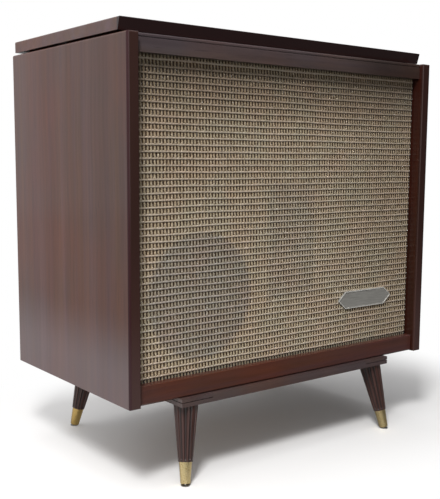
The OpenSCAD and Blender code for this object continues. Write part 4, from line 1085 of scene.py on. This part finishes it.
class CONSOLE_OT_controls(bpy.types.Operator):
    """Finish the control panel and its knobs"""

    bl_idname = "record_console.controls"
    bl_label = "Controls"

    def execute(self, context):
        metal = context.scene.console_metal
        paint(turned_metal("brushed_panel", srgb(196, 194, 188), 0.36, (0.012, 1, 1), 0.1),
              "control_panel")
        knobs = {"volume_knob": (0, 300), "treble_knob": (-150, 150),
                 "bass_knob": (-150, 150), "selector_knob": (0, 120)}
        paint(enamel("knob_moulding", metal.cream, 0.24, 0.03), *knobs)
        low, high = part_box("control_panel")
        rim, inset, screw_radius = 0.0015, 0.010, 0.0032
        face = high.z - rim
        corners = [(x, y) for x in (low.x + inset, high.x - inset)
                   for y in (low.y + inset, high.y - inset)]
        add_screws("panel_screws", corners, screw_radius, face, (0.2, 2.3, 1.4, 0.8))
        gap, ink = 0.0025, 0.00006
        marks = []
        for name, turns in knobs.items():
            inner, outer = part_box(name)
            middle = np.array(((inner.x + outer.x) / 2, (inner.y + outer.y) / 2))
            marks += self.scale_marks(middle, (outer.x - inner.x) / 2 + gap, *turns)
        scale = prisms("panel_scale", [(mark, face, face + ink, 0.0) for mark in marks])
        add_piece("panel_scale", scale, enamel("printed_scale", metal.black, 0.6),
                  smooth=False)
        return {"FINISHED"}

    def scale_marks(self, middle, radius, first, last):
        """Strokes round a knob where its pointer can stand, the main ones longer and bolder."""
        step, marks = 30, []
        main = 5 if last - first > 5 * step else 1
        for k in range((last - first) // step + 1):
            length, half = (0.0042, 0.0004) if k % main == 0 else (0.0028, 0.00025)
            turn = math.radians(first + step * k)
            way = np.array((math.sin(turn), math.cos(turn)))
            side = np.array((way[1], -way[0])) * half
            inner = middle + way * radius
            outer = inner + way * length
            marks.append([inner + side, outer + side, outer - side, inner - side])
        return marks


class CONSOLE_OT_sound(bpy.types.Operator):
    """Finish the loudspeakers and the valves"""

    bl_idname = "record_console.sound"
    bl_label = "Sound"

    def execute(self, context):
        paint(enamel("black_enamel", context.scene.console_metal.black, 0.42), "woofer_frame",
              "oval_tweeter")
        paint(cone_paper(), "woofer_cone")
        paint(clear_glass(), "valves")
        return {"FINISHED"}


STEPS = (
    CONSOLE_OT_studio, CONSOLE_OT_case, CONSOLE_OT_legs, CONSOLE_OT_grille,
    CONSOLE_OT_plaque, CONSOLE_OT_changer, CONSOLE_OT_controls, CONSOLE_OT_sound,
)
GROUPS = {
    "console_wood": CONSOLE_PG_wood, "console_grille": CONSOLE_PG_grille,
    "console_metal": CONSOLE_PG_metal, "console_studio": CONSOLE_PG_studio,
}


class CONSOLE_PT_steps(bpy.types.Panel):
    """Lists the steps and their settings"""

    bl_idname = "CONSOLE_PT_steps"
    bl_label = "Record Console"
    bl_space_type = "VIEW_3D"
    bl_region_type = "UI"
    bl_category = "Record Console"

    def draw(self, context):
        for step in STEPS:
            self.layout.operator(step.bl_idname)
        for name, group in GROUPS.items():
            box = self.layout.box()
            settings = getattr(context.scene, name)
            for prop in group.__annotations__:
                box.prop(settings, prop)


def register():
    for group in GROUPS.values():
        bpy.utils.register_class(group)
    for name, group in GROUPS.items():
        setattr(bpy.types.Scene, name, bpy.props.PointerProperty(type=group))
    for step in (*STEPS, CONSOLE_PT_steps):
        bpy.utils.register_class(step)


def unregister():
    for step in reversed((*STEPS, CONSOLE_PT_steps)):
        bpy.utils.unregister_class(step)
    for name in reversed(GROUPS):
        delattr(bpy.types.Scene, name)
    for group in reversed(GROUPS.values()):
        bpy.utils.unregister_class(group)


def main():
    register()
    for step in STEPS:
        family, name = step.bl_idname.split(".")
        getattr(getattr(bpy.ops, family), name)()
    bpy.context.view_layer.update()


if __name__ == "__main__":
    main()
